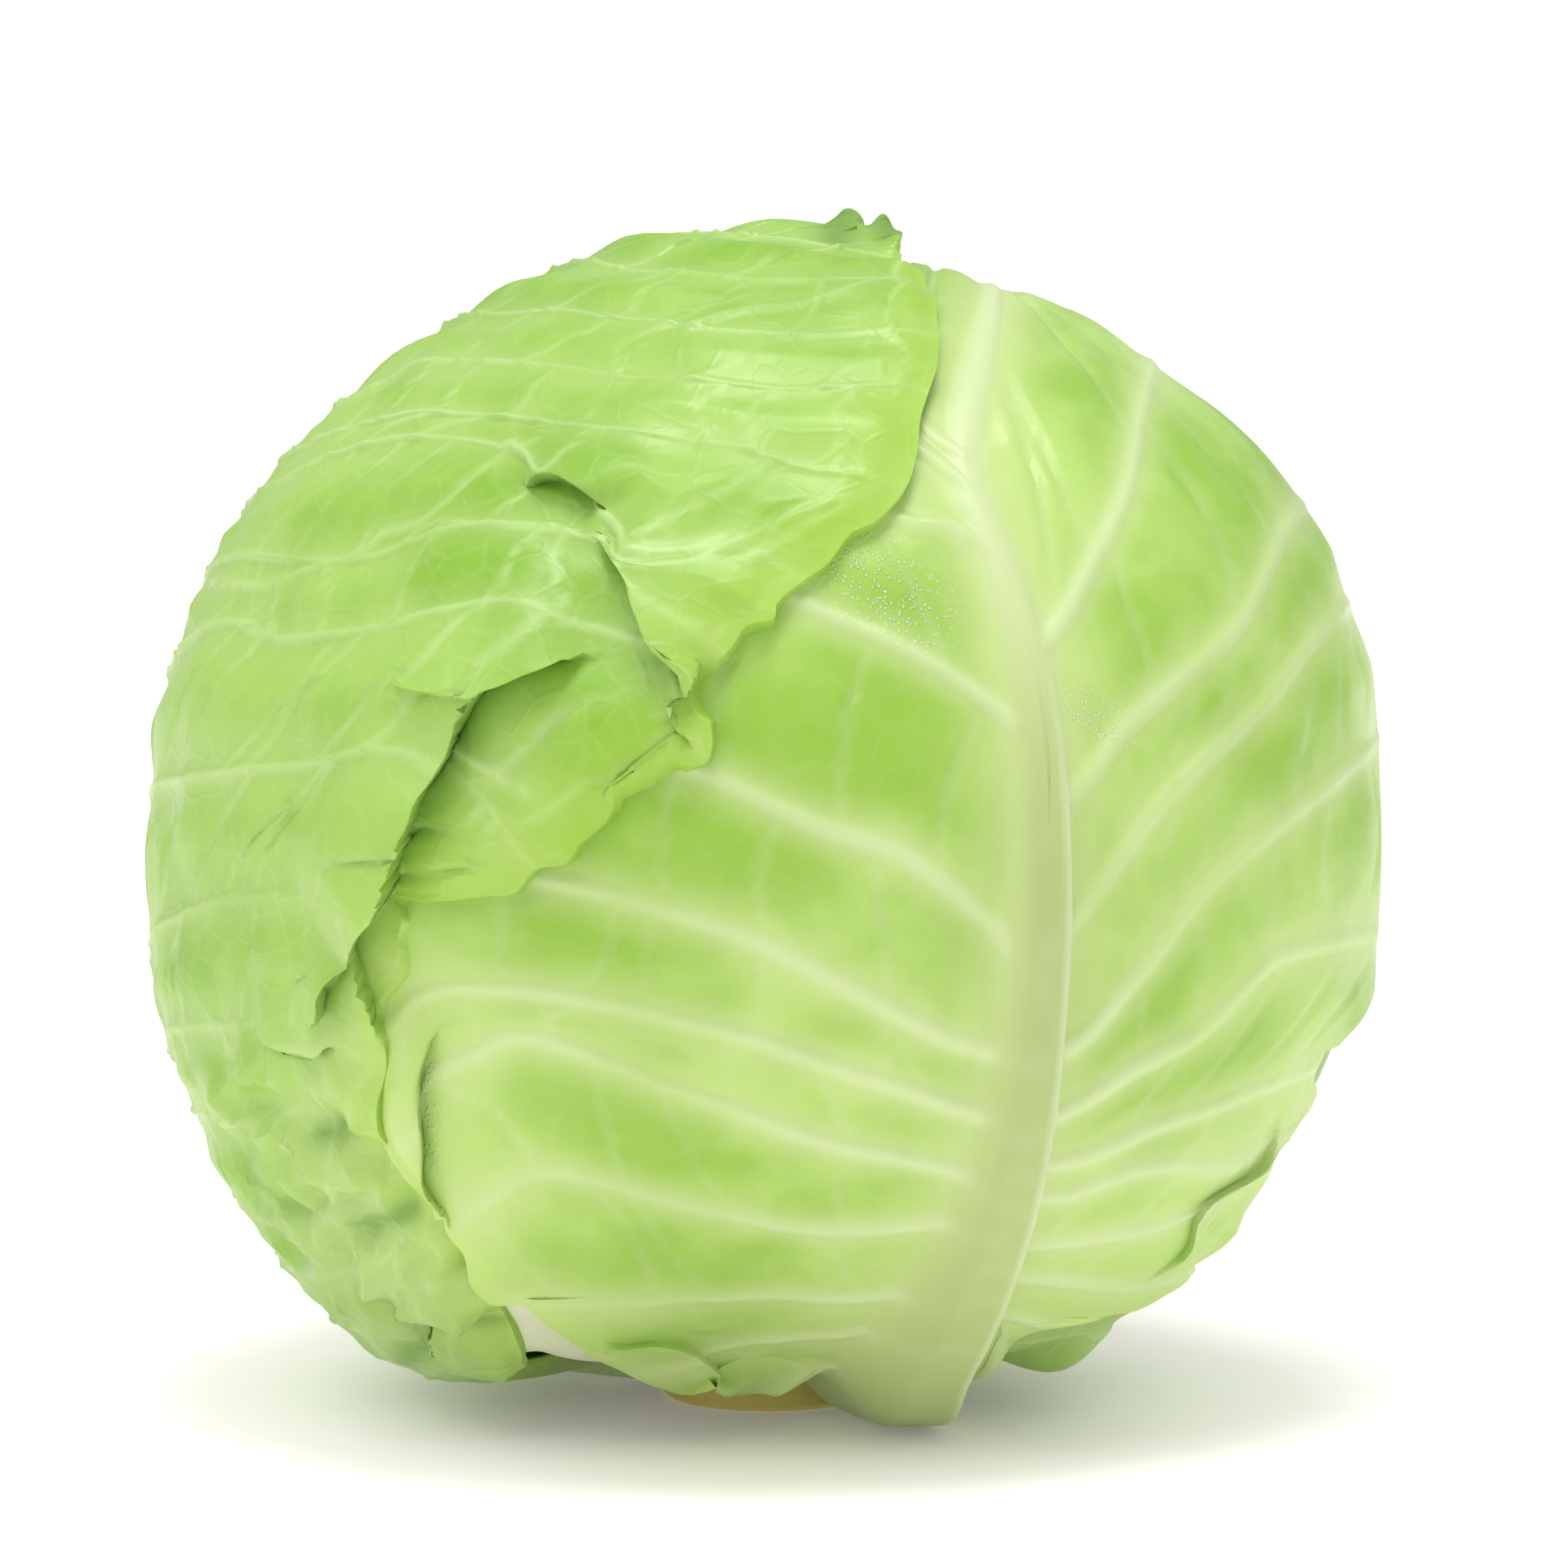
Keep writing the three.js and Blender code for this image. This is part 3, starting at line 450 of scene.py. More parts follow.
class Leaf:
    """A leaf's net of directions, from the stalk to the tip (t) and from margin to margin (v, -1 to 1)."""

    def __init__(self, rib, left, right, margins=(None, None), stride=STRIDE):
        self.stride = stride
        self.rib = resample(rib, RIB_POINTS)
        self.halves = []
        for rows, margin in zip((left, right), margins):
            knots = nearest(np.array([row[0] for row in rows]), self.rib)[1]
            knots[0], knots[-1] = 0, 1
            lines = []
            for knot, row in zip(knots, rows):
                start = self.rib[int(math.floor(knot * RIB_POINTS + 0.5))]
                lines.append([start] + [np.asarray(p, float) for p in row[1:]])
            net = np.array([resample(line, NET_COLUMNS) for line in lines])
            veins = [resample(line, VEIN_POINTS) for line in lines[1:-1]]
            half = {"knots": knots, "net": net, "veins": veins, "shift": None}
            if margin is not None:
                half["shift"] = self.margin_shift(half, margin)
            self.halves.append(half)

    def directions(self, t, v):
        """Directions at the places t along the rib and v across it, as a grid."""
        columns = np.linspace(0, 1, NET_COLUMNS + 1)
        ribs = curve(np.linspace(0, 1, RIB_POINTS + 1), self.rib, t)
        grid = np.zeros((len(t), len(v), 3))
        for half, chosen in zip(self.halves, (v < 0, v >= 0)):
            net = curve(half["knots"], half["net"], t)
            net[:, 0] = ribs
            across = curve(columns, np.swapaxes(net, 0, 1), np.abs(v[chosen]))
            grid[:, chosen] = np.swapaxes(across, 0, 1)
            if half["shift"] is not None:
                shift = curve(np.linspace(0, 1, MARGIN_PLACES), half["shift"], t)
                grid[:, chosen] += shift[:, None, :] * (np.abs(v[chosen]) ** 4)[None, :, None]
        return unit(grid)

    def margin_shift(self, half, margin):
        """How far each place on the margin moves, so that the blade ends on the margin drawn for it."""
        ends = curve(half["knots"], half["net"][:, -1], np.linspace(0, 1, MARGIN_PLACES))
        wanted = resample(margin, MARGIN_PLACES)
        first, last = (np.argmin(np.linalg.norm(ends - end, axis=1)) for end in (wanted[0], wanted[-1]))
        window = np.ones(2 * MARGIN_EASE + 1) / (2 * MARGIN_EASE + 1)
        padded = np.pad(wanted, ((MARGIN_EASE, MARGIN_EASE), (0, 0)), "edge")
        soft = np.stack([np.convolve(c, window, "valid") for c in padded.T], 1)
        shares = []
        for line in (ends[first:last + 1], soft):
            sums = sums_along(line)
            shares.append(sums / sums[-1])
        shift = np.zeros_like(ends)
        for c in range(3):
            shift[first:last + 1, c] = np.interp(shares[0], shares[1], wanted[:, c]) - ends[first:last + 1, c]
        return shift

    def rows(self):
        """Places along the rib: on every vein, closer together near the veins."""
        knots = np.unique(np.round(np.concatenate([half["knots"] for half in self.halves]) * 500) / 500)
        kept = [0.0]
        for knot in knots[1:]:
            if knot == 1 or knot - kept[-1] > 0.008:
                kept.append(float(knot))
        places = []
        for low, high in zip(kept, kept[1:]):
            ends = self.directions(np.array([low, high]), np.array([-1, -0.5, 0, 0.5, 1]))
            span = HEAD_DEPTH * np.linalg.norm(ends[1] - ends[0], axis=1).max()
            pieces = 2 * max(1, round(span / (2 * self.stride)))
            share = np.arange(pieces) / pieces
            places += list(low + (high - low) * (share - 0.1 * np.sin(2 * np.pi * share)))
        return np.array(places + [1.0])

    def columns(self, width):
        """Places across one half, closer together near the rib and at the margin."""
        count = 2 * max(1, round(width / (2 * self.stride)))
        share = np.arange(1, count + 1) / count
        return share * (0.55 + 0.9 * share - 0.45 * share ** 2)


def sheet_faces(rows, columns):
    """The closed sheet between an outer grid and an inner one that has every second row and column."""
    outer = np.arange(rows * columns).reshape(rows, columns)
    inner = rows * columns + np.arange(((rows + 1) // 2) * ((columns + 1) // 2))
    inner = inner.reshape((rows + 1) // 2, (columns + 1) // 2)
    front = np.stack([outer[:-1, :-1], outer[:-1, 1:], outer[1:, 1:], outer[1:, :-1]], -1).reshape(-1, 4)
    back = np.stack([inner[:-1, :-1], inner[1:, :-1], inner[1:, 1:], inner[:-1, 1:]], -1).reshape(-1, 4)
    faces = [tuple(f) for f in front] + [tuple(f) for f in back]
    edges = [(outer[0], inner[0], False), (outer[-1], inner[-1], True)]
    edges += [(outer[:, 0], inner[:, 0], True), (outer[:, -1], inner[:, -1], False)]
    for fine, coarse, turned in edges:
        for i in range(len(coarse) - 1):
            a, b, c = fine[2 * i], fine[2 * i + 1], fine[2 * i + 2]
            d, e = coarse[i], coarse[i + 1]
            for p, q, r in ((a, d, b), (b, d, e), (b, e, c)):
                faces.append((p, r, q) if turned else (p, q, r))
    return faces


def cross_veins(leaf, t, v, d, seed, spacing, height, width):
    """Small veins that run from each side vein to the next, drawn at random places, and how near each is."""
    draw = np.random.default_rng(seed)
    lift = np.zeros(d.shape[:2])
    shade = np.zeros(d.shape[:2])
    for sign, half in ((-1, leaf.halves[0]), (1, leaf.halves[1])):
        knots = half["knots"]
        for low, high in zip(knots[:-1], knots[1:]):
            middle = leaf.directions(np.array([(low + high) / 2]), np.linspace(0, sign, 12))[0]
            length = HEAD_DEPTH * np.linalg.norm(np.diff(middle, axis=0), axis=1).sum()
            count = max(2, round(length / spacing))
            for i in range(count):
                start = (i + draw.uniform(0.2, 0.9)) / count
                lean = draw.uniform(-0.3, 0.6) / count
                wiggle = draw.uniform(-0.25, 0.25) / count
                share = np.linspace(0, 1, 7)
                ts = low + (high - low) * share
                vs = np.clip(start + lean * share + wiggle * np.sin(np.pi * share), 0.03, 0.99)
                line = np.array([leaf.directions(np.array([a]), np.array([sign * b]))[0, 0]
                                 for a, b in zip(ts, vs)])
                rows = np.nonzero((t >= low - 0.005) & (t <= high + 0.005))[0]
                reach = 1.6 / count
                cols = np.nonzero((v * sign > vs.min() - reach) & (v * sign < vs.max() + reach))[0]
                if len(rows) == 0 or len(cols) == 0:
                    continue
                block = np.ix_(rows, cols)
                gap = nearest(d[block], line)[0]
                lift[block] = np.maximum(lift[block], height * ridge(gap, width))
                shade[block] = np.maximum(shade[block], ridge(gap, width * 0.9))
    return lift, shade


def fold_over(d, line, side, height, spread, lean):
    """One side of the line stands up by height, sinks back over spread, and leans over the other side.

    Gives the rise, the shift of each direction, and the painted shade along the crease, widest on the side
    under the fold."""
    line = resample(line, FOLD_POINTS)
    flat = d.reshape(-1, 3)
    gap, place, found = nearest(flat, line)
    fade = max(4, HEAD_DEPTH * np.linalg.norm(np.diff(line, axis=0), axis=1).sum() / FOLD_FADE)
    ends = smooth(place * fade) * smooth((1 - place) * fade)
    on_top = found * side > 0
    beyond = np.maximum(gap - FOLD_SNAP, 0)
    near_line = np.exp(-(beyond / FOLD_REACH) ** 2)
    rise = np.where(on_top, height * np.exp(-(beyond / spread) ** 2), -FOLD_SUNK * height * near_line)
    knots = np.linspace(0, 1, FOLD_POINTS + 1)
    ahead = curve(knots, line, np.minimum(place + 0.02, 1)) - curve(knots, line, np.maximum(place - 0.02, 0))
    left = unit(np.cross(flat, ahead))
    over = np.where(on_top, lean, -0.6 * lean * near_line) * near_line
    over += np.where(on_top, FOLD_GATHER, -FOLD_GATHER) * gap * near_line
    shift = left * (-side * over * ends / HEAD_DEPTH)[:, None]
    dark = np.where(on_top, np.exp(-(gap / SHADE_ON_FOLD) ** 2), np.exp(-(gap / SHADE_UNDER_FOLD) ** 2))
    painted_shade = dark * ends * min(1, height / FULL_CREASE)
    return (rise * ends).reshape(d.shape[:2]), shift.reshape(d.shape), painted_shade.reshape(d.shape[:2])


def roll_lift(d, line, height, half_width):
    """A rounded roll along the line, fading at both ends."""
    line = resample(line, FOLD_POINTS)
    gap, place, _ = nearest(d, line, half_width)
    return height * ridge(gap, half_width) * smooth(place * 4) * smooth((1 - place) * 4)


def lowest_near(grid):
    """The lowest value in each place's neighbourhood, so that the inner face never comes through."""
    for axis in (0, 1):
        for step in (1, 2):
            grid = np.minimum(grid, np.minimum(np.roll(grid, step, axis), np.roll(grid, -step, axis)))
    return grid


def ease_inside(points, low, high):
    """Points kept inside the node's box: those within BOX_EASE of a wall are drawn gently away from it."""
    over = np.maximum(points - (high - BOX_EASE), 0)
    under = np.maximum(low + BOX_EASE - points, 0)
    under[:, 2] = 0
    eased = points - over + under + BOX_EASE * (np.tanh(over / BOX_EASE) - np.tanh(under / BOX_EASE))
    return np.clip(eased, low, high)


def unevenness(d, scale, seed):
    """Smooth random swelling, between -1 and 1, by place on the head."""
    start = Vector((seed * 3.1, seed * 1.7, seed * 2.3))
    flat = [noise.noise(Vector(p) * scale + start) for p in d.reshape(-1, 3)]
    return np.array(flat).reshape(d.shape[:2])


def grow(name, leaf, layer, widths, look, finish, node):
    """Makes the blade of a leaf as a closed sheet, with its rib, veins, folds and margin."""
    t = leaf.rows()
    left, right = (leaf.columns(width * MM) for width in widths)
    v = np.concatenate([-left[::-1], [0], right])
    d = leaf.directions(t, v)
    across = np.abs(v)[None, :] + 0 * t[:, None]

    rib_gap, rib_place, rib_side = nearest(d, leaf.rib)
    rib_width = MM * stops(look["rib_width"], rib_place)
    rib_height = MM * stops(look["rib_height"], rib_place)
    crest = ridge(rib_gap, rib_width)
    if look.get("sharp_rib"):
        steep = 1 - smooth((rib_gap / rib_width - 0.55) / 0.3)
        gentle = 1 - smooth((rib_gap / rib_width - 0.1) / 0.9)
        upper = smooth((rib_place - 0.4) / 0.18)
        crest = np.where(rib_side * look["sharp_rib"] > 0, steep, gentle) * (1 - upper) + crest * upper
        lit_edge = ridge(rib_gap - 0.6 * rib_width, LIT_EDGE) * (rib_side * look["sharp_rib"] > 0)
        lit_edge = np.maximum(lit_edge * (1 - upper), 0.9 * upper * ridge(rib_gap, 1.2 * rib_width))
    lift = rib_height * crest
    vein_and_highlight = np.zeros(d.shape[:2])
    nearest_vein = np.full(d.shape[:2], 0.02)
    crisp, soft = look["vein_width"]
    lines = [line for half in leaf.halves for line in half["veins"][:look.get("vein_rows")]]
    lines += look.get("branches", [])
    for line in lines:
        gap, place, _ = nearest(d, line, VEIN_REACH)
        fade = 1 - 0.7 * place
        width = crisp * MM * (0.5 + 0.6 * fade)
        profile = 0.6 * ridge(gap, width) + 0.4 * ridge(gap, soft * MM)
        lift = np.maximum(lift, MM * look["vein_height"] * fade * profile)
        band = look["vein_shade"] * ridge(gap, width) + 0.25 * ridge(gap, 2.2 * width)
        vein_and_highlight = np.maximum(vein_and_highlight, band * (0.35 + 0.65 * fade))
        nearest_vein = np.minimum(nearest_vein, gap)
    small_lift, small_shade = cross_veins(leaf, t, v, d, look["seed"], look["cross_spacing"] * MM,
                                          look["cross_height"] * MM, look["cross_width"] * MM)
    calm = smooth((rib_gap - 0.7 * rib_width) / CALM_REACH)
    vein_and_highlight = vein_and_highlight * (1 - 0.85 * smooth(crest * 2))
    if look.get("sharp_rib"):
        # Painted highlight: the rib's lit edge goes into the vein layer.
        vein_and_highlight = np.maximum(vein_and_highlight, lit_edge * (1 - 0.7 * smooth((rib_place - 0.75) / 0.25)))
    lift = lift + small_lift * calm
    vein_and_highlight = np.maximum(vein_and_highlight, look["cross_pale"] * small_shade * calm)
    lift += MM * look["quilting"] * smooth(nearest_vein / QUILT_REACH) * (1 - small_shade) * calm
    lift += MM * look["uneven"] * unevenness(d, 7, look["seed"]) * calm

    body = np.zeros(d.shape[:2])
    moved = d
    # Painted shade along each fold, widest on its low side, and in the shaded spots listed for the leaf.
    painted_shade = np.zeros(d.shape[:2])
    for line, side, height, spread, lean in look.get("folds", []):
        rise, shift, dark = fold_over(d, line, side, height * MM, spread * MM, lean * MM)
        body = body + rise
        moved = moved + shift
        painted_shade = np.maximum(painted_shade, FOLD_SHADE * dark)
    moved = unit(moved)
    for line, height, half_width in look.get("rolls", []):
        body = body + roll_lift(d, line, height * MM, half_width * MM)
    for middle, radius, height, scale in look.get("crumples", []):
        away = HEAD_DEPTH * np.linalg.norm(d - middle[0], axis=-1) / (radius * MM)
        creased = 0.5 - np.abs(unevenness(d, scale, look["seed"])) * 2.5
        body = body + height * MM * creased * np.exp(-away ** 4)
    outside = smooth((across - 0.82) / 0.18)
    for on_side, edge, wave in ((v < 0, "left_edge", "left_wave"), (v > 0, "right_edge", "right_wave")):
        if edge in look:
            body = body + smooth((across - 0.6) / 0.4) * on_side * MM * stops(look[edge], t)[:, None]
        if wave in look:
            swing = 0.5 + 0.5 * np.sin(2 * np.pi * look["waves"] * t + 1.5 * unevenness(d[:, :1], 5, 9)[:, 0])
            body = body + np.where(on_side, outside * MM * (stops(look[wave], t) * swing)[:, None], 0)
    edge_width = look.get("edge_width", 0.05)
    thin = smooth((across - (1 - edge_width)) / edge_width)
    body = body - MM * look.get("droop", 0.5) * thin
    lift = lift * (1 - 0.7 * thin)

    outer = moved * (head_radius(moved) - layer + body + lift)[..., None] + HEAD_CENTRE
    blade = BLADE + (EDGE_BLADE - BLADE) * thin
    inner = d * (head_radius(d) - layer + lowest_near(body) - blade)[..., None] + HEAD_CENTRE
    outer[..., 2] = np.maximum(outer[..., 2], LOWEST_RIB + THINNEST_FOOT)
    inner[..., 2] = np.maximum(inner[..., 2], LOWEST_RIB)
    inner = inner[::2, ::2]
    low, high = (np.array(corner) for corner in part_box(node))
    points = np.concatenate([outer.reshape(-1, 3), inner.reshape(-1, 3)])
    points = ease_inside(points, low, high)
    halo = np.exp(-(rib_gap / (MM * stops(look["halo"], rib_place))) ** 2)
    halo = np.maximum(halo, look["vein_halo"] * ridge(nearest_vein, VEIN_HALO))
    foot = 1 - smooth((rib_place - look["foot"] * 0.4) / (look["foot"] * 0.9 + 0.001))
    pale = np.clip(halo + look["foot_pale"] * foot, 0, 1)
    rib_fade = 1 - 0.9 * smooth((rib_place - look["rib_end"] + 0.1) / 0.2)
    # Darker patches, partly the blade's own mottle and partly painted shade in pockets and under folds.
    mottle_and_shade = np.zeros(d.shape[:2])
    dew = np.zeros(d.shape[:2])
    for shade, key in ((mottle_and_shade, "mottle_and_shade"), (dew, "dew"), (painted_shade, "shade")):
        for line, half_width, strength in look.get(key, []):
            gap = nearest(d, resample(line, 12), 2.5 * half_width * MM)[0]
            np.maximum(shade, strength * np.exp(-(gap / (half_width * MM)) ** 2), out=shade)
    rib_shade = rib_fade * np.clip(crest * look["rib_pale"], 0, 1)
    margin = smooth((across - 0.9) / 0.1)
    layers = {}
    for key, outer_values, inner_value in (
            ("mottle_and_shade", mottle_and_shade, 0), ("dew", dew, 0), ("painted_shade", painted_shade, 0), ("pale", pale, 0), ("vein_and_highlight", vein_and_highlight, 0),
            ("rib", rib_shade, 0), ("margin", margin, 0.3)):
        layers[key] = np.concatenate([outer_values.ravel(), np.full(inner[..., 0].size, inner_value)])
    piece = add_mesh(name, points, sheet_faces(*d.shape[:2]), finish.material, layers)
    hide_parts(node)
    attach(piece, "root")


INNER_ROWS = [
    (LEAF_START, 12, 12, 2), (20, 28, 28, 6), (29, 40, 42, 9), (40, 48, 52, 12), (53, 55, 60, 15),
    (70, 58, 62, 16), (88, 56, 58, 16), (107, 48, 48, 14), (126, 33, 33, 9), (142, 9, 9, 0),
]
inner_look = {
    "rib_height": [[0, 4], [0.15, 3.4], [0.4, 1.4], [1, 0.6]],
    "rib_width": [[0, 12], [0.15, 13], [0.4, 8], [1, 3]],
    "rib_pale": 1.6, "rib_end": 0.75,
    "vein_height": 0.7, "vein_width": (1.4, 4), "vein_shade": 0.75, "seed": 3,
    "cross_spacing": 14, "cross_height": 0.15, "cross_width": 1.2, "cross_pale": 0.3,
    "quilting": 0.25, "uneven": 0.3,
    "halo": [[0, 30], [0.4, 12], [1, 4]], "vein_halo": 0.3, "foot": 0.3, "foot_pale": 0.9,
    "rolls": [([around(-62, 41), around(-52, 38), around(-44, 34)], 1.8, 7),
              ([around(-52, 58), around(-48, 46), around(-42, 34)], 3.5, 9)],
}
inner_finish = leaf_finish("waxy_inner_leaf", **PALE)
grow("inner_wrapper_leaf", Leaf(*swept_leaf(-38, INNER_ROWS)), LAYER["inner"], (85, 85), inner_look,
     inner_finish, "inner_leaf")


# Back leaf: the smoother, darker wrapper leaf that covers the back and shows past the front leaf's lower
# right margin. It grows from the back right of the stalk and closes over the top under the others.
BACK_RIB = 135
BACK_ROWS = [
    (LEAF_START, 12, 12, 2), (20, 34, 30, 5), (30, 62, 48, 7), (42, 80, 60, 10), (56, 86, 68, 14),
    (70, 84, 72, 18), (86, 80, 73, 21), (103, 74, 71, 22), (121, 66, 66, 20), (139, 56, 56, 16),
    (157, 42, 42, 10), (173, 24, 24, 5), (187, 8, 8, 0),
]
BACK_FOOT = {
    20: [(100, 23), (68, 25), (50, 27)],
    30: [(100, 34), (66, 36), (43, 34)],
    42: [(100, 46), (64, 48), (38, 43)],
    56: [(100, 60), (63, 60), (37, 52)],
    70: [(100, 75), (64, 73), (38, 62)],
}
back_rib, back_left, back_right = swept_leaf(BACK_RIB, BACK_ROWS)
for row_number, (row_rise, *_) in enumerate(BACK_ROWS):
    if row_rise in BACK_FOOT:
        foot_places = [around(*foot_place) for foot_place in BACK_FOOT[row_rise]]
        back_left[row_number] = [around(BACK_RIB, row_rise)] + foot_places
back_look = {
    "rib_height": [[0, 12], [0.1, 11], [0.22, 5], [0.4, 1.8], [0.6, 0.7], [1, 0.5]],
    "rib_width": [[0, 12], [0.12, 12], [0.3, 8], [0.6, 5.5], [1, 3]],
    "rib_pale": 1.4, "rib_end": 0.75,
    "vein_height": 0.8, "vein_width": (1.3, 4), "vein_shade": 0.75, "seed": 5,
    "cross_spacing": 13, "cross_height": 0.25, "cross_width": 0.9, "cross_pale": 0.5,
    "quilting": 0.65, "uneven": 0.6,
    "halo": [[0, 16], [0.4, 8], [1, 3]], "vein_halo": 0.3, "foot": 0.1, "foot_pale": 0.4,
    "rolls": [([around(60, 31), around(76, 30), around(94, 28)], 4.5, 12)],
}
back_finish = leaf_finish(
    "back_leaf_skin", mottle_and_shade=(0.17, 0.36, 0.04, 1), fresh=(0.27, 0.50, 0.07, 1), pale=(0.46, 0.62, 0.20, 1),
    vein_and_highlight=(0.48, 0.66, 0.24, 1), rib=(0.60, 0.70, 0.34, 1), edge=(0.34, 0.58, 0.07, 1), gloss=0.36,
    network=0.25)
grow("back_wrapper_leaf", Leaf(back_rib, back_left, back_right, stride=1.08 * MM), LAYER["back"], (135, 110),
     back_look, back_finish, "back_leaf")


# Front leaf: the big wrapper leaf of the front and the right, light green and glossy, with a broad pale rib
# that leaves the stalk at the front right. Its lower left margin is folded back and its right one is waved.
def seen(points):
    """Directions to places in the front view: beyond the outline they go on round the back."""
    points = np.asarray(points, float) * MM
    angle = np.arctan2(points[:, 1], points[:, 0])
    size = outline(angle)
    raw = np.hypot(points[:, 0], points[:, 1]) / size
    depth = HEAD_DEPTH * np.sqrt(1 - np.minimum(raw, 2 - raw) ** 2)
    reach = np.where(raw < 1, raw * (1 - depth / VIEW_DISTANCE), raw)
    apparent = np.minimum(reach, 2 - reach) * size
    depth = HEAD_DEPTH * np.sqrt(1 - np.minimum(reach, 2 - reach) ** 2)
    depth = np.where(reach < 1, depth, -depth)
    flat = (apparent * np.cos(angle))[:, None] * RIGHT + (apparent * np.sin(angle))[:, None] * UP
    return list(unit(flat + depth[:, None] * FRONT))


def drawn(*marks):
    """Marks on a blade, from lines of places in the front view, each with the numbers that go with it."""
    return [(seen(places), *numbers) for places, *numbers in marks]


FRONT_RIB = [around(34, LEAF_START), around(33, 21)] + seen([
    (22, -78), (27, -71), (34.5, -55.5), (39, -37.5), (41.5, -16), (42, 2), (41, 18), (38, 33.5),
    (34, 45), (30, 55.5), (31, 67), (34, 80), (35.5, 94.5), (35.5, 108)])
FRONT_RIGHT = [
    [around(34, LEAF_START), around(60, 15), around(76, 17)],
    [around(33, 21), around(50, 25)] + seen([(36, -74)]),
    seen([(26, -73), (36.5, -73), (42.5, -74.5), (48, -74.5)]),
    seen([(29.5, -67), (42, -67.5), (53.5, -69), (64, -66.5)]),
    seen([(32, -61), (42, -62), (56, -60.5), (65.5, -57), (77.5, -49.5)]),
    seen([(34, -56), (43.5, -55), (55.5, -51), (69, -49.5), (81.5, -43.5)]),
    seen([(36, -51), (44.5, -50), (59, -44.5), (75, -38.5), (85.5, -34)]),
    seen([(38, -43), (47.5, -41), (56, -35.5), (65.5, -30), (78.5, -18), (96.5, -12)]),
    seen([(39.5, -35), (48, -31), (57, -20), (65.5, -9.5), (75, -0.5), (90.5, 12), (100.5, 18)]),
    seen([(41.5, -16), (48, -11), (60.5, 6), (73.5, 18), (84.5, 32), (100, 40.5)]),
    seen([(42, 3.5), (48, 8), (54.5, 16.5), (64, 25), (71.5, 32), (78.5, 46.5), (90.5, 58)]),
    seen([(39.5, 26), (43.5, 31), (47.5, 38), (53.5, 50), (57, 66), (66.5, 91)]),
    seen([(31, 67), (37.5, 81.5), (46, 96), (52, 104)]),
    seen([(35.5, 108), (41.5, 110)]),
]
FRONT_LEFT = [
    [around(34, LEAF_START), around(8, 15), around(-8, 17)],
    [around(33, 21)] + seen([(10, -81), (0, -82.5)]),
    seen([(25, -74), (10, -76), (-6, -78), (-20, -80.5)]),
    seen([(28.5, -68), (22, -69.5), (-5.5, -70.5), (-21, -70.5), (-37, -70)]),
    seen([(32.5, -60), (24.5, -59), (6.5, -60), (-7.5, -57.5), (-28, -52), (-37, -51.5), (-47.5, -60)]),
    seen([(35.5, -52), (27, -50.5), (6.5, -46), (-7.5, -41), (-25.5, -34), (-40, -31), (-58, -48)]),
    seen([(38, -43.5), (28, -41), (12.5, -36), (-11.5, -28.5), (-30.5, -24.5), (-50.5, -23.5), (-61, -32)]),
    seen([(39.5, -35), (28, -31), (10, -22), (-4.5, -15), (-24, -9), (-35, -6.5), (-57, -2)]),
    seen([(41.5, -20.5), (36, -15), (28.5, -8.5), (20, -2.5), (7, 2), (-9, 9.5), (-35.5, 18), (-51, 21.5)]),
    seen([(42, 2), (41.5, 12.5), (33, 21), (20, 29), (5.5, 35.5), (-17.5, 45.5), (-36.5, 52.5)]),
    seen([(38, 33.5), (33.5, 43.5), (28, 47), (20.5, 48), (0.5, 58.5), (-17.5, 69.5)]),
    seen([(32.5, 49), (30, 53.5), (22, 60), (6.5, 73), (-5.5, 84)]),
    seen([(31, 67), (24.5, 78), (16, 92), (11.5, 102)]),
    seen([(35.5, 108), (29.5, 110)]),
]
FRONT_LEFT_MARGIN = seen([
    (1, -82), (-4.7, -83.2), (-8.5, -81.8), (-10.5, -80.4), (-12, -81.8), (-14, -82.6), (-21, -80.4),
    (-26, -78), (-28.5, -76), (-32.6, -73.4), (-36, -70.5), (-37, -69), (-40.5, -70.5), (-44, -68),
    (-45.5, -63), (-48, -60), (-49, -57)])
FRONT_RIGHT_MARGIN = seen([
    (35.5, -73.7), (44.3, -73.4), (51.6, -73), (56.2, -71.8), (58, -71.2), (61.7, -69), (64.9, -66.8),
    (65.2, -64.7), (67.9, -62.4), (71, -59.6), (72.7, -56.4), (76.3, -51.8), (77.5, -47.9), (82.1, -42.4),
    (83.3, -41.5), (84.1, -39.2), (83.8, -37.1), (86.9, -30.2)])
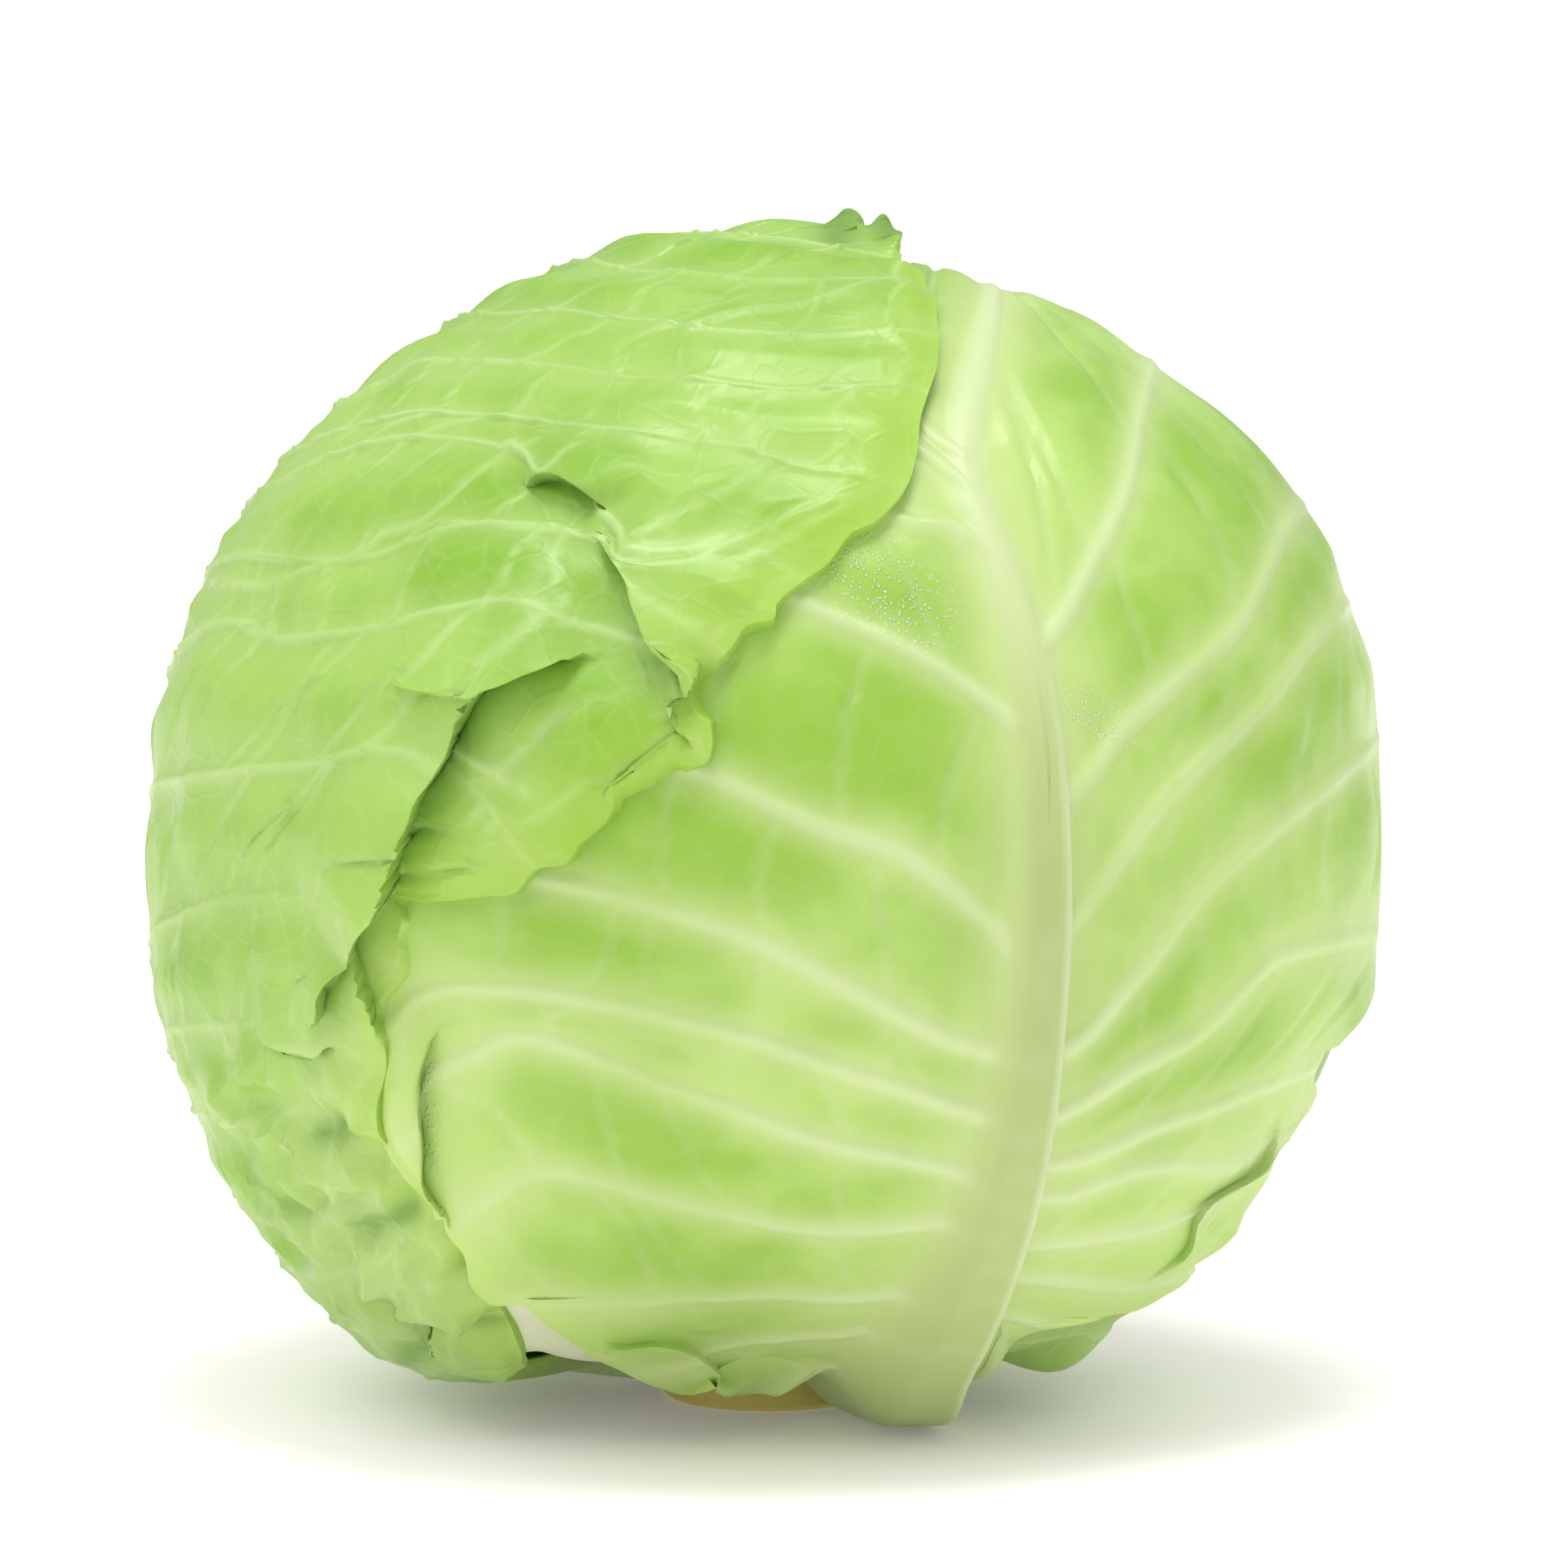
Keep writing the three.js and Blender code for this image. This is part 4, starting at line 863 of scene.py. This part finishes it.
front_look = {
    "rib_height": [[0, 8], [0.1, 7.6], [0.22, 5], [0.4, 2.4], [0.6, 0.8], [1, 0.3]],
    "rib_width": [[0, 12], [0.12, 10.5], [0.2, 8.5], [0.29, 7], [0.37, 6.2], [0.5, 4.6], [0.64, 3.6],
                  [0.72, 2.2], [0.83, 1.6], [1, 1.3]],
    "rib_pale": 1.1, "rib_end": 0.48, "sharp_rib": -1,
    "vein_height": 1.1, "vein_width": (2.1, 8), "vein_shade": 0.5, "vein_rows": -1, "seed": 7,
    "branches": [resample(seen([(30, 57.5), (25, 61.5), (20, 66)]), VEIN_POINTS)],
    "cross_spacing": 16, "cross_height": 0.15, "cross_width": 1.6, "cross_pale": 0.2,
    "quilting": 0.9, "uneven": 0.6,
    "halo": [[0, 14], [0.3, 11], [0.6, 8], [1, 4]], "vein_halo": 0.5, "foot": 0.14, "foot_pale": 0.4,
    "waves": 11, "left_wave": [[0, 0], [0.08, 0.8], [0.2, 0.6], [0.3, 0], [1, 0]],
    "right_wave": [[0, 0], [0.1, 0.9], [1, 0.5]],
    "left_edge": [[0, 3], [0.04, 4], [0.1, 3.2], [0.2, 1.6], [0.3, 0], [1, 0]],
    "dew": drawn(
        ([(13, 42), (23, 34)], 5, 1.0),
        ([(48, 19), (53, 16)], 3, 0.8),
        ([(-49, -34), (-48.5, -50)], 1.6, 0.7),
    ),
    "rolls": drawn(
        ([(-51, -22), (-54, -28), (-55.4, -36.6), (-56.2, -43.9), (-54.2, -48.1), (-52.7, -53.6)], 1.6, 4),
        ([(-50, 52), (-10, 62), (30, 62)], -1.5, 20),
        ([(-62, 25), (-38, 30), (-8, 40)], -1.4, 17),
        ([(-42, 74), (-8, 79), (26, 80)], -1.2, 14),
    ),
    "folds": drawn(
        ([(-49.2, -27), (-52, -35.3), (-52.2, -41.2), (-51.5, -47.6), (-51, -52.2), (-47.9, -57.2),
               (-47.6, -60.2)], -1, 2.0, 5, 0.9),
        ([(79, -41), (75, -50), (66, -56), (63, -63), (56, -69)], 1, 1.1, 4, 0.3),
        ([(-29, -75.5), (-22, -75.4), (-16, -75.7), (-10.3, -78.4), (-6, -80.4), (0, -81)], -1, 1.0, 5, 0.4),
    ),
    "mottle_and_shade": drawn(
        ([(6, 16), (13.5, 14), (22, 10)], 7, 1.0),
        ([(50, 36), (56, 30)], 5, 0.6),
        ([(-12.7, -49), (-3.5, -49.5)], 3.5, 0.9),
        ([(-30, -15), (-10, -17)], 6, 0.8),
        ([(-36, -37), (-22, -40), (-9, -43)], 5, 0.6),
        ([(-35, -62), (-20, -64), (-5, -65)], 3.5, 0.4),
        ([(4, -32), (14, -28)], 4.5, 0.6),
        ([(60, -46), (72, -40)], 4, 0.5),
        ([(48, 62), (52, 54)], 4, 0.4),
        ([(60, -45), (66, -38), (74, -32)], 7, 0.8),
        ([(62, -6), (70, 2)], 5, 0.4),
        ([(-26, -23), (-8, -26)], 5, 0.8),
        ([(20, -30), (24, -38), (28, -12)], 3, 0.35),
    ),
}
front_finish = leaf_finish(
    "front_leaf_skin", mottle_and_shade=(0.28, 0.51, 0.05, 1), fresh=(0.45, 0.67, 0.16, 1), pale=(0.55, 0.68, 0.26, 1),
    vein_and_highlight=(0.64, 0.75, 0.42, 1), rib=(0.42, 0.53, 0.19, 1), edge=(0.52, 0.72, 0.15, 1), gloss=0.32,
    network=0.06, dewy=True)
front_blade = Leaf(FRONT_RIB, FRONT_LEFT, FRONT_RIGHT, (FRONT_LEFT_MARGIN, FRONT_RIGHT_MARGIN), 1.26 * MM)
grow("front_wrapper_leaf", front_blade, LAYER["front"], (110, 100), front_look, front_finish, "front_leaf")


# Left leaf: the outermost wrapper leaf, with crisp raised veins. It grows from the back left and wraps the
# left of the head and the top. Its front margin is folded over, and its lower end is crumpled.
LEFT_RIB = -130
LEFT_FAR_ROWS = [
    (LEAF_START, 12, 2), (20, 27, 6), (31, 42, 12), (43, 50, 16), (56, 53, 18), (70, 54, 20), (85, 54, 20),
    (101, 53, 20), (118, 51, 18), (135, 46, 14), (152, 37, 9), (168, 24, 5), (186, 7, 0),
]
LEFT_RIB_LINE = [around(LEFT_RIB, rise) for rise in (LEAF_START, 30, 50, 70, 90, 110, 130, 150, 168)]
LEFT_RIB_LINE += seen([(2, 90), (18.5, 87.5)])
LEFT_NEAR = [
    [around(LEFT_RIB, LEAF_START), around(-110, 15), around(-94, 17)],
    [around(LEFT_RIB, 20), around(-100, 26), around(-75, 33)] + seen([(-47, -79)]),
]
for near_rise, near_points in (
    (30, [(-66, -72), (-51, -73.5), (-40.5, -75)]),
    (37, [(-74, -63), (-62, -65), (-53.5, -66.5), (-44, -69)]),
    (43, [(-80, -53.5), (-65.5, -57.5), (-57, -57), (-49, -61)]),
    (49, [(-85, -42), (-74, -41.5), (-65.5, -43), (-56.5, -49.5)]),
    (55, [(-88.5, -30), (-78.5, -28), (-68, -29), (-57, -34)]),
    (62, [(-91, -16.5), (-84.5, -11), (-77.5, -9), (-65.5, -10.5), (-53.5, -20)]),
    (74, [(-91, 4.5), (-82.5, 9), (-72.5, 10), (-62, 11), (-51, 12.5), (-41.5, 5.5), (-34.5, -5)]),
    (90, [(-86, 28), (-78.5, 31.5), (-72.5, 29), (-59.5, 30), (-46.5, 32), (-36.5, 33.5), (-27, 31),
          (-17.5, 25.5), (-12.5, 19), (-9, 11)]),
    (97, [(-80, 40.5), (-62, 40.5), (-41.5, 45.5), (-24, 43), (-14, 34.5), (-6, 27)]),
    (104, [(-72.5, 51.5), (-59.5, 57.5), (-38, 57), (-30.5, 52.5), (-22.5, 46.5), (-14, 42), (-5.5, 42.5),
           (5.5, 38)]),
    (110, [(-68, 57), (-51, 62), (-38, 61.5), (-27, 60), (-8, 58), (6.5, 54), (20.5, 51.5)]),
    (120, [(-62, 63.5), (-52.5, 69), (-39, 69.5), (-24.5, 68), (-10.5, 67), (6.5, 66), (24, 66)]),
    (134, [(-42.5, 76.5), (-27, 76.5), (-11.5, 75), (6.5, 74), (25.5, 73.5)]),
    (150, [(-24.5, 84), (-15, 83), (1.5, 82), (23.5, 81)]),
    (168, [(4, 87), (20, 85)]),
):
    LEFT_NEAR.append([around(LEFT_RIB, near_rise)] + seen(near_points))
LEFT_NEAR.append(seen([(18.5, 87.5), (19.5, 86.5)]))
LEFT_MARGIN = seen([
    (-37.5, -81.6), (-37.5, -79), (-39, -77), (-41.5, -74), (-41, -71), (-43, -69), (-44.5, -67),
    (-44.5, -63), (-47.5, -60.5), (-52, -55), (-54, -53), (-56.5, -49.5), (-57.5, -46), (-58, -40),
    (-57, -34), (-57.5, -28), (-53.5, -21), (-54, -16.5), (-53, -14), (-54, -11.5), (-48.5, -10),
    (-42.5, -9), (-37.5, -8.5), (-34.5, -5), (-29.5, -4), (-28, -1.5), (-24.5, 1.5), (-21, 4.5),
    (-17.5, 6.5), (-14, 9), (-9, 11), (-7.5, 15.5), (-7.5, 20), (-9.5, 22),
    (-8, 24.5), (-5, 28), (-3, 31), (1, 32), (1.5, 34.5), (5.5, 38), (9, 40.5), (12.5, 45), (16, 46.5),
    (20.5, 51.5), (22, 56), (22.5, 61), (24, 66), (25.5, 70.5), (25.5, 75.5), (24, 81), (20, 85)])
left_look = {
    "rib_height": [[0, 9], [0.1, 8.5], [0.22, 4.5], [0.4, 2.6], [0.7, 1.2], [0.85, 0.6], [1, 0.1]],
    "rib_width": [[0, 13], [0.12, 13], [0.3, 8], [0.6, 5], [0.8, 3], [1, 1]],
    "rib_pale": 1.3, "rib_end": 0.75,
    "vein_height": 1.2, "vein_width": (1.0, 3.4), "vein_shade": 0.75, "seed": 11,
    "cross_spacing": 13, "cross_height": 0.45, "cross_width": 0.95, "cross_pale": 0.6,
    "quilting": 1.7, "uneven": 1.0, "droop": 0.8, "edge_width": 0.04,
    "halo": [[0, 16], [0.4, 8], [1, 3]], "vein_halo": 0.25, "foot": 0.1, "foot_pale": 0.4,
    "waves": 15, "left_wave": [[0, 0], [0.1, 0.8], [1, 1.2]],
    "right_wave": [[0, 0], [0.1, 1.3], [0.4, 0.7], [1, 1.4]],
    "right_edge": [[0, -3], [0.12, -3], [0.2, -1.6], [0.28, 0], [1, 0]],
    "left_edge": [[0, 0], [0.08, -2.5], [0.3, -3], [0.48, -3], [0.58, -0.6], [1, 0]],
    "folds": drawn(
        ([(-23.9, 27), (-26.3, 26.5), (-33.6, 24), (-36.6, 22.6), (-40.5, 21.2), (-44.4, 16), (-46.3, 12),
               (-49.8, 6.1), (-50.8, 2.3), (-52.2, -0.7), (-55, -9), (-59.2, -13.9), (-62.5, -18.2)],
         -1, 5.5, 18, 2.2),
        ([(-57.5, -12), (-60, -15.5), (-62.5, -18.2), (-64.6, -22.4), (-65.5, -26), (-67.9, -26.6)],
         -1, 2, 5, 0.8),
        ([(-59.2, -14.4), (-59.6, -18.2), (-58.8, -21.8), (-58.1, -27.8), (-57.6, -31.4)], -1, 2, 8, 1),
        ([(-52.8, 20.9), (-47.4, 20.9), (-44.4, 21.8), (-41.3, 21.4)], 1, 1.2, 6, 0.6),
        ([(-25.6, 44.2), (-23.6, 42.4), (-20.9, 40), (-19, 37), (-18, 33.6), (-16, 28.2), (-14.3, 23.8),
               (-13.6, 20.9), (-14, 19.4)], 1, 3, 8, 1.5),
        ([(-13.6, 19), (-11.2, 20.9), (-9.4, 23.8), (-8.4, 26.8)], 1, 1.5, 4, 0.8),
        ([(-14, 19.4), (-12.6, 16), (-10.7, 13.6)], 1, 1.5, 4, 0.8),
        ([(-13.3, 15), (-15.1, 13.6), (-20.9, 8.6), (-25.3, 5.4)], 1, 1, 3, 0.4),
        ([(-36.6, 51.4), (-30.7, 52.3), (-25.9, 49.9), (-23.8, 47.5)], 1, 2.6, 6, 0.8),
        ([(-62.5, -66.5), (-55.7, -69.2), (-52, -71.5), (-48.2, -73.1), (-41.9, -73.3)], 1, 2.4, 7, 1.2),
        ([(-76.3, -27.5), (-69.8, -31.6), (-62.5, -32)], 1, 1.6, 10, 0.6),
        ([(-53, -71), (-52.2, -74), (-52, -77.5)], 1, 1.3, 3, 0.5),
        ([(-48, -75), (-47.4, -78), (-47, -81)], 1, 1.3, 3, 0.5),
    ),
    "rolls": drawn(
        ([(-84, -36), (-70, -46), (-58, -52)], 1.6, 7),
        ([(-82.7, -40.8), (-77.3, -36.1), (-72.6, -34.8)], 1.2, 2.6),
        ([(-77.6, -27), (-76.8, -35.3)], 1, 2.2),
        ([(-71.8, -47.6), (-68, -56.4)], 1.2, 2.6),
        ([(-68, -57.2), (-59.8, -56.4), (-53.8, -54.5)], 1.5, 3),
        ([(-63, -60.5), (-60, -59.2), (-57, -58.5)], -1.6, 4),
        ([(-67, -45), (-61.5, -44.5)], -1.4, 4),
        ([(-24, 45), (-18, 44.5)], -1.4, 3),
        ([(11.5, 87.5), (12, 96), (12.5, 104)], 3.3, 2.8),
        ([(16.5, 87), (17, 95), (17.5, 102)], 2.6, 2.2),
    ),
    "crumples": drawn(([(-64, -56)], 27, 2.3, 11)),
    # Darker patches: partly mottle, partly painted shade, as in the pocket at the pinch near the top and in
    # the hook on the left.
    "mottle_and_shade": drawn(
        ([(-35, 50.5), (-26, 49)], 3, 0.9),
        ([(-34, 38), (-24, 36)], 5, 0.6),
        ([(11.5, 90), (12, 98), (17, 96), (17, 90)], 4, 1.0),
        ([(-20, 83), (-5, 85)], 4, 0.5),
        ([(-62, -22), (-63, -27)], 3, 0.8),
        ([(-16, 38), (-8, 34)], 4, 0.5),
        ([(-30, 12), (-22, 14), (-14, 17)], 3, 0.5),
        ([(-60, -68), (-50, -74), (-44, -78)], 5, 0.7),
    ),
    "shade": drawn(
        ([(10, 87), (12, 92), (14.5, 90), (17, 92), (17.5, 87)], 3.2, 0.6),
        ([(-67, -44.8), (-62, -44.3)], 1.6, 0.5),
        ([(-61, -58.5), (-54, -56.5)], 1.8, 0.6),
        ([(-74, -52), (-70, -56)], 2.6, 0.35),
        ([(-56.5, -70), (-54.5, -74), (-53.5, -78)], 1.8, 0.5),
        ([(-47.5, -75), (-41.5, -75.5)], 1.4, 0.5),
        ([(-32, 51), (-27, 49)], 2.5, 0.35),
        ([(-62, -23), (-63, -27.5)], 2.5, 0.4),
    ),
    "branches": [resample(seen(points), VEIN_POINTS) for points in (
        [(-11.5, 74.8), (-5.5, 77.1), (6.5, 79), (19.7, 82)],
        [(-38, 57.9), (-30.7, 52.5), (-24.1, 47.2), (-13.9, 41.8), (-5.5, 44.2)],
        [(-81.7, 37), (-73.9, 37), (-59.5, 41.8), (-55.9, 44.8), (-41.5, 45.4), (-29.5, 44.2)],
        [(-44.5, 11.8), (-33.7, 5.2), (-33.1, 3.4)],
    )],
}
left_finish = leaf_finish(
    "left_leaf_skin", mottle_and_shade=(0.23, 0.46, 0.03, 1), fresh=(0.35, 0.58, 0.10, 1), pale=(0.46, 0.62, 0.22, 1),
    vein_and_highlight=(0.54, 0.73, 0.29, 1), rib=(0.60, 0.70, 0.36, 1), edge=(0.42, 0.64, 0.08, 1), gloss=0.34,
    network=0.15)
left_far = [swept_row(LEFT_RIB, rise, -width, climb) for rise, width, climb in LEFT_FAR_ROWS]
left_blade = Leaf(LEFT_RIB_LINE, left_far, LEFT_NEAR, (None, LEFT_MARGIN), 1.1 * MM)
grow("left_wrapper_leaf", left_blade, LAYER["left"], (72, 168), left_look, left_finish, "left_leaf")


# Studio: a white floor that glows, least in a painted shadow round the head, a soft light high on the left, a
# weaker one on the right and the strongest overhead.
# The camera stands two metres off, a little above the head, as the photograph was taken.
AIM = HEAD_CENTRE + 2.4 * MM * RIGHT + 7.44 * MM * UP
FRAME_WIDTH = 0.232
FLOOR_SIZE = 8.0
SHADOW_SQUEEZE = (1.5, 0.8, 1)
SHADOW_SPAN = (0.04, 0.12)
SWEEP_SPAN = (0.12, 1.2)


def glowing_floor():
    finish = Finish("glowing_floor", Roughness=0.9)
    # The base colour is pinkish, against the green light that the leaves throw onto the floor.
    finish.shader.inputs["Base Color"].default_value = (0.92, 0.85, 0.90, 1)
    finish.shader.inputs["Emission Color"].default_value = (1, 1, 1, 1)
    # The floor glows though it is no lamp: least in a squeezed patch round the head, a painted shadow, and
    # more further off, so it stays white.
    squeezed = finish.node("VectorMath", {0: finish.place(), 1: SHADOW_SQUEEZE}, operation="MULTIPLY")
    away = finish.node("VectorMath", {0: squeezed.outputs[0]}, operation="LENGTH").outputs["Value"]
    near = finish.span(away, *SHADOW_SPAN, 0.12, 0.34)
    finish.wire("Emission Strength", finish.math("ADD", near, finish.span(away, *SWEEP_SPAN, 0, 0.26)))
    half = FLOOR_SIZE / 2
    corners = [(-half, -half, 0), (half, -half, 0), (half, half, 0), (-half, half, 0)]
    floor = add_mesh("floor", corners, [(0, 1, 2, 3)], finish.material)


def area_light(name, place, size, power):
    light = bpy.data.lights.new(name, "AREA")
    light.size = size
    light.energy = power
    lamp = bpy.data.objects.new(name, light)
    lamp.location = place
    lamp.rotation_euler = (Vector(HEAD_CENTRE) - Vector(place)).to_track_quat("-Z", "Y").to_euler()
    bpy.context.scene.collection.objects.link(lamp)


def studio_camera():
    data = bpy.data.cameras.new("camera")
    data.lens = data.sensor_width * VIEW_DISTANCE / FRAME_WIDTH
    data.clip_start = 0.05
    camera = bpy.data.objects.new("camera", data)
    axes = Matrix((RIGHT, UP, FRONT)).transposed().to_4x4()
    axes.translation = Vector(AIM + VIEW_DISTANCE * FRONT)
    camera.matrix_world = axes
    bpy.context.scene.collection.objects.link(camera)
    bpy.context.scene.camera = camera


glowing_floor()
area_light("key", (-0.9, -0.9, 1.7), 1.3, 10)
area_light("fill", (1.4, -1.0, 1.1), 1.2, 3)
area_light("top", (0.05, -0.1, 2.0), 0.8, 19)
world = bpy.data.worlds.new("studio")
world.use_nodes = True
world.node_tree.nodes["Background"].inputs["Color"].default_value = (1, 1, 1, 1)
world.node_tree.nodes["Background"].inputs["Strength"].default_value = 0.58
bpy.context.scene.world = world
studio_camera()
bpy.context.scene.view_settings.view_transform = "Standard"
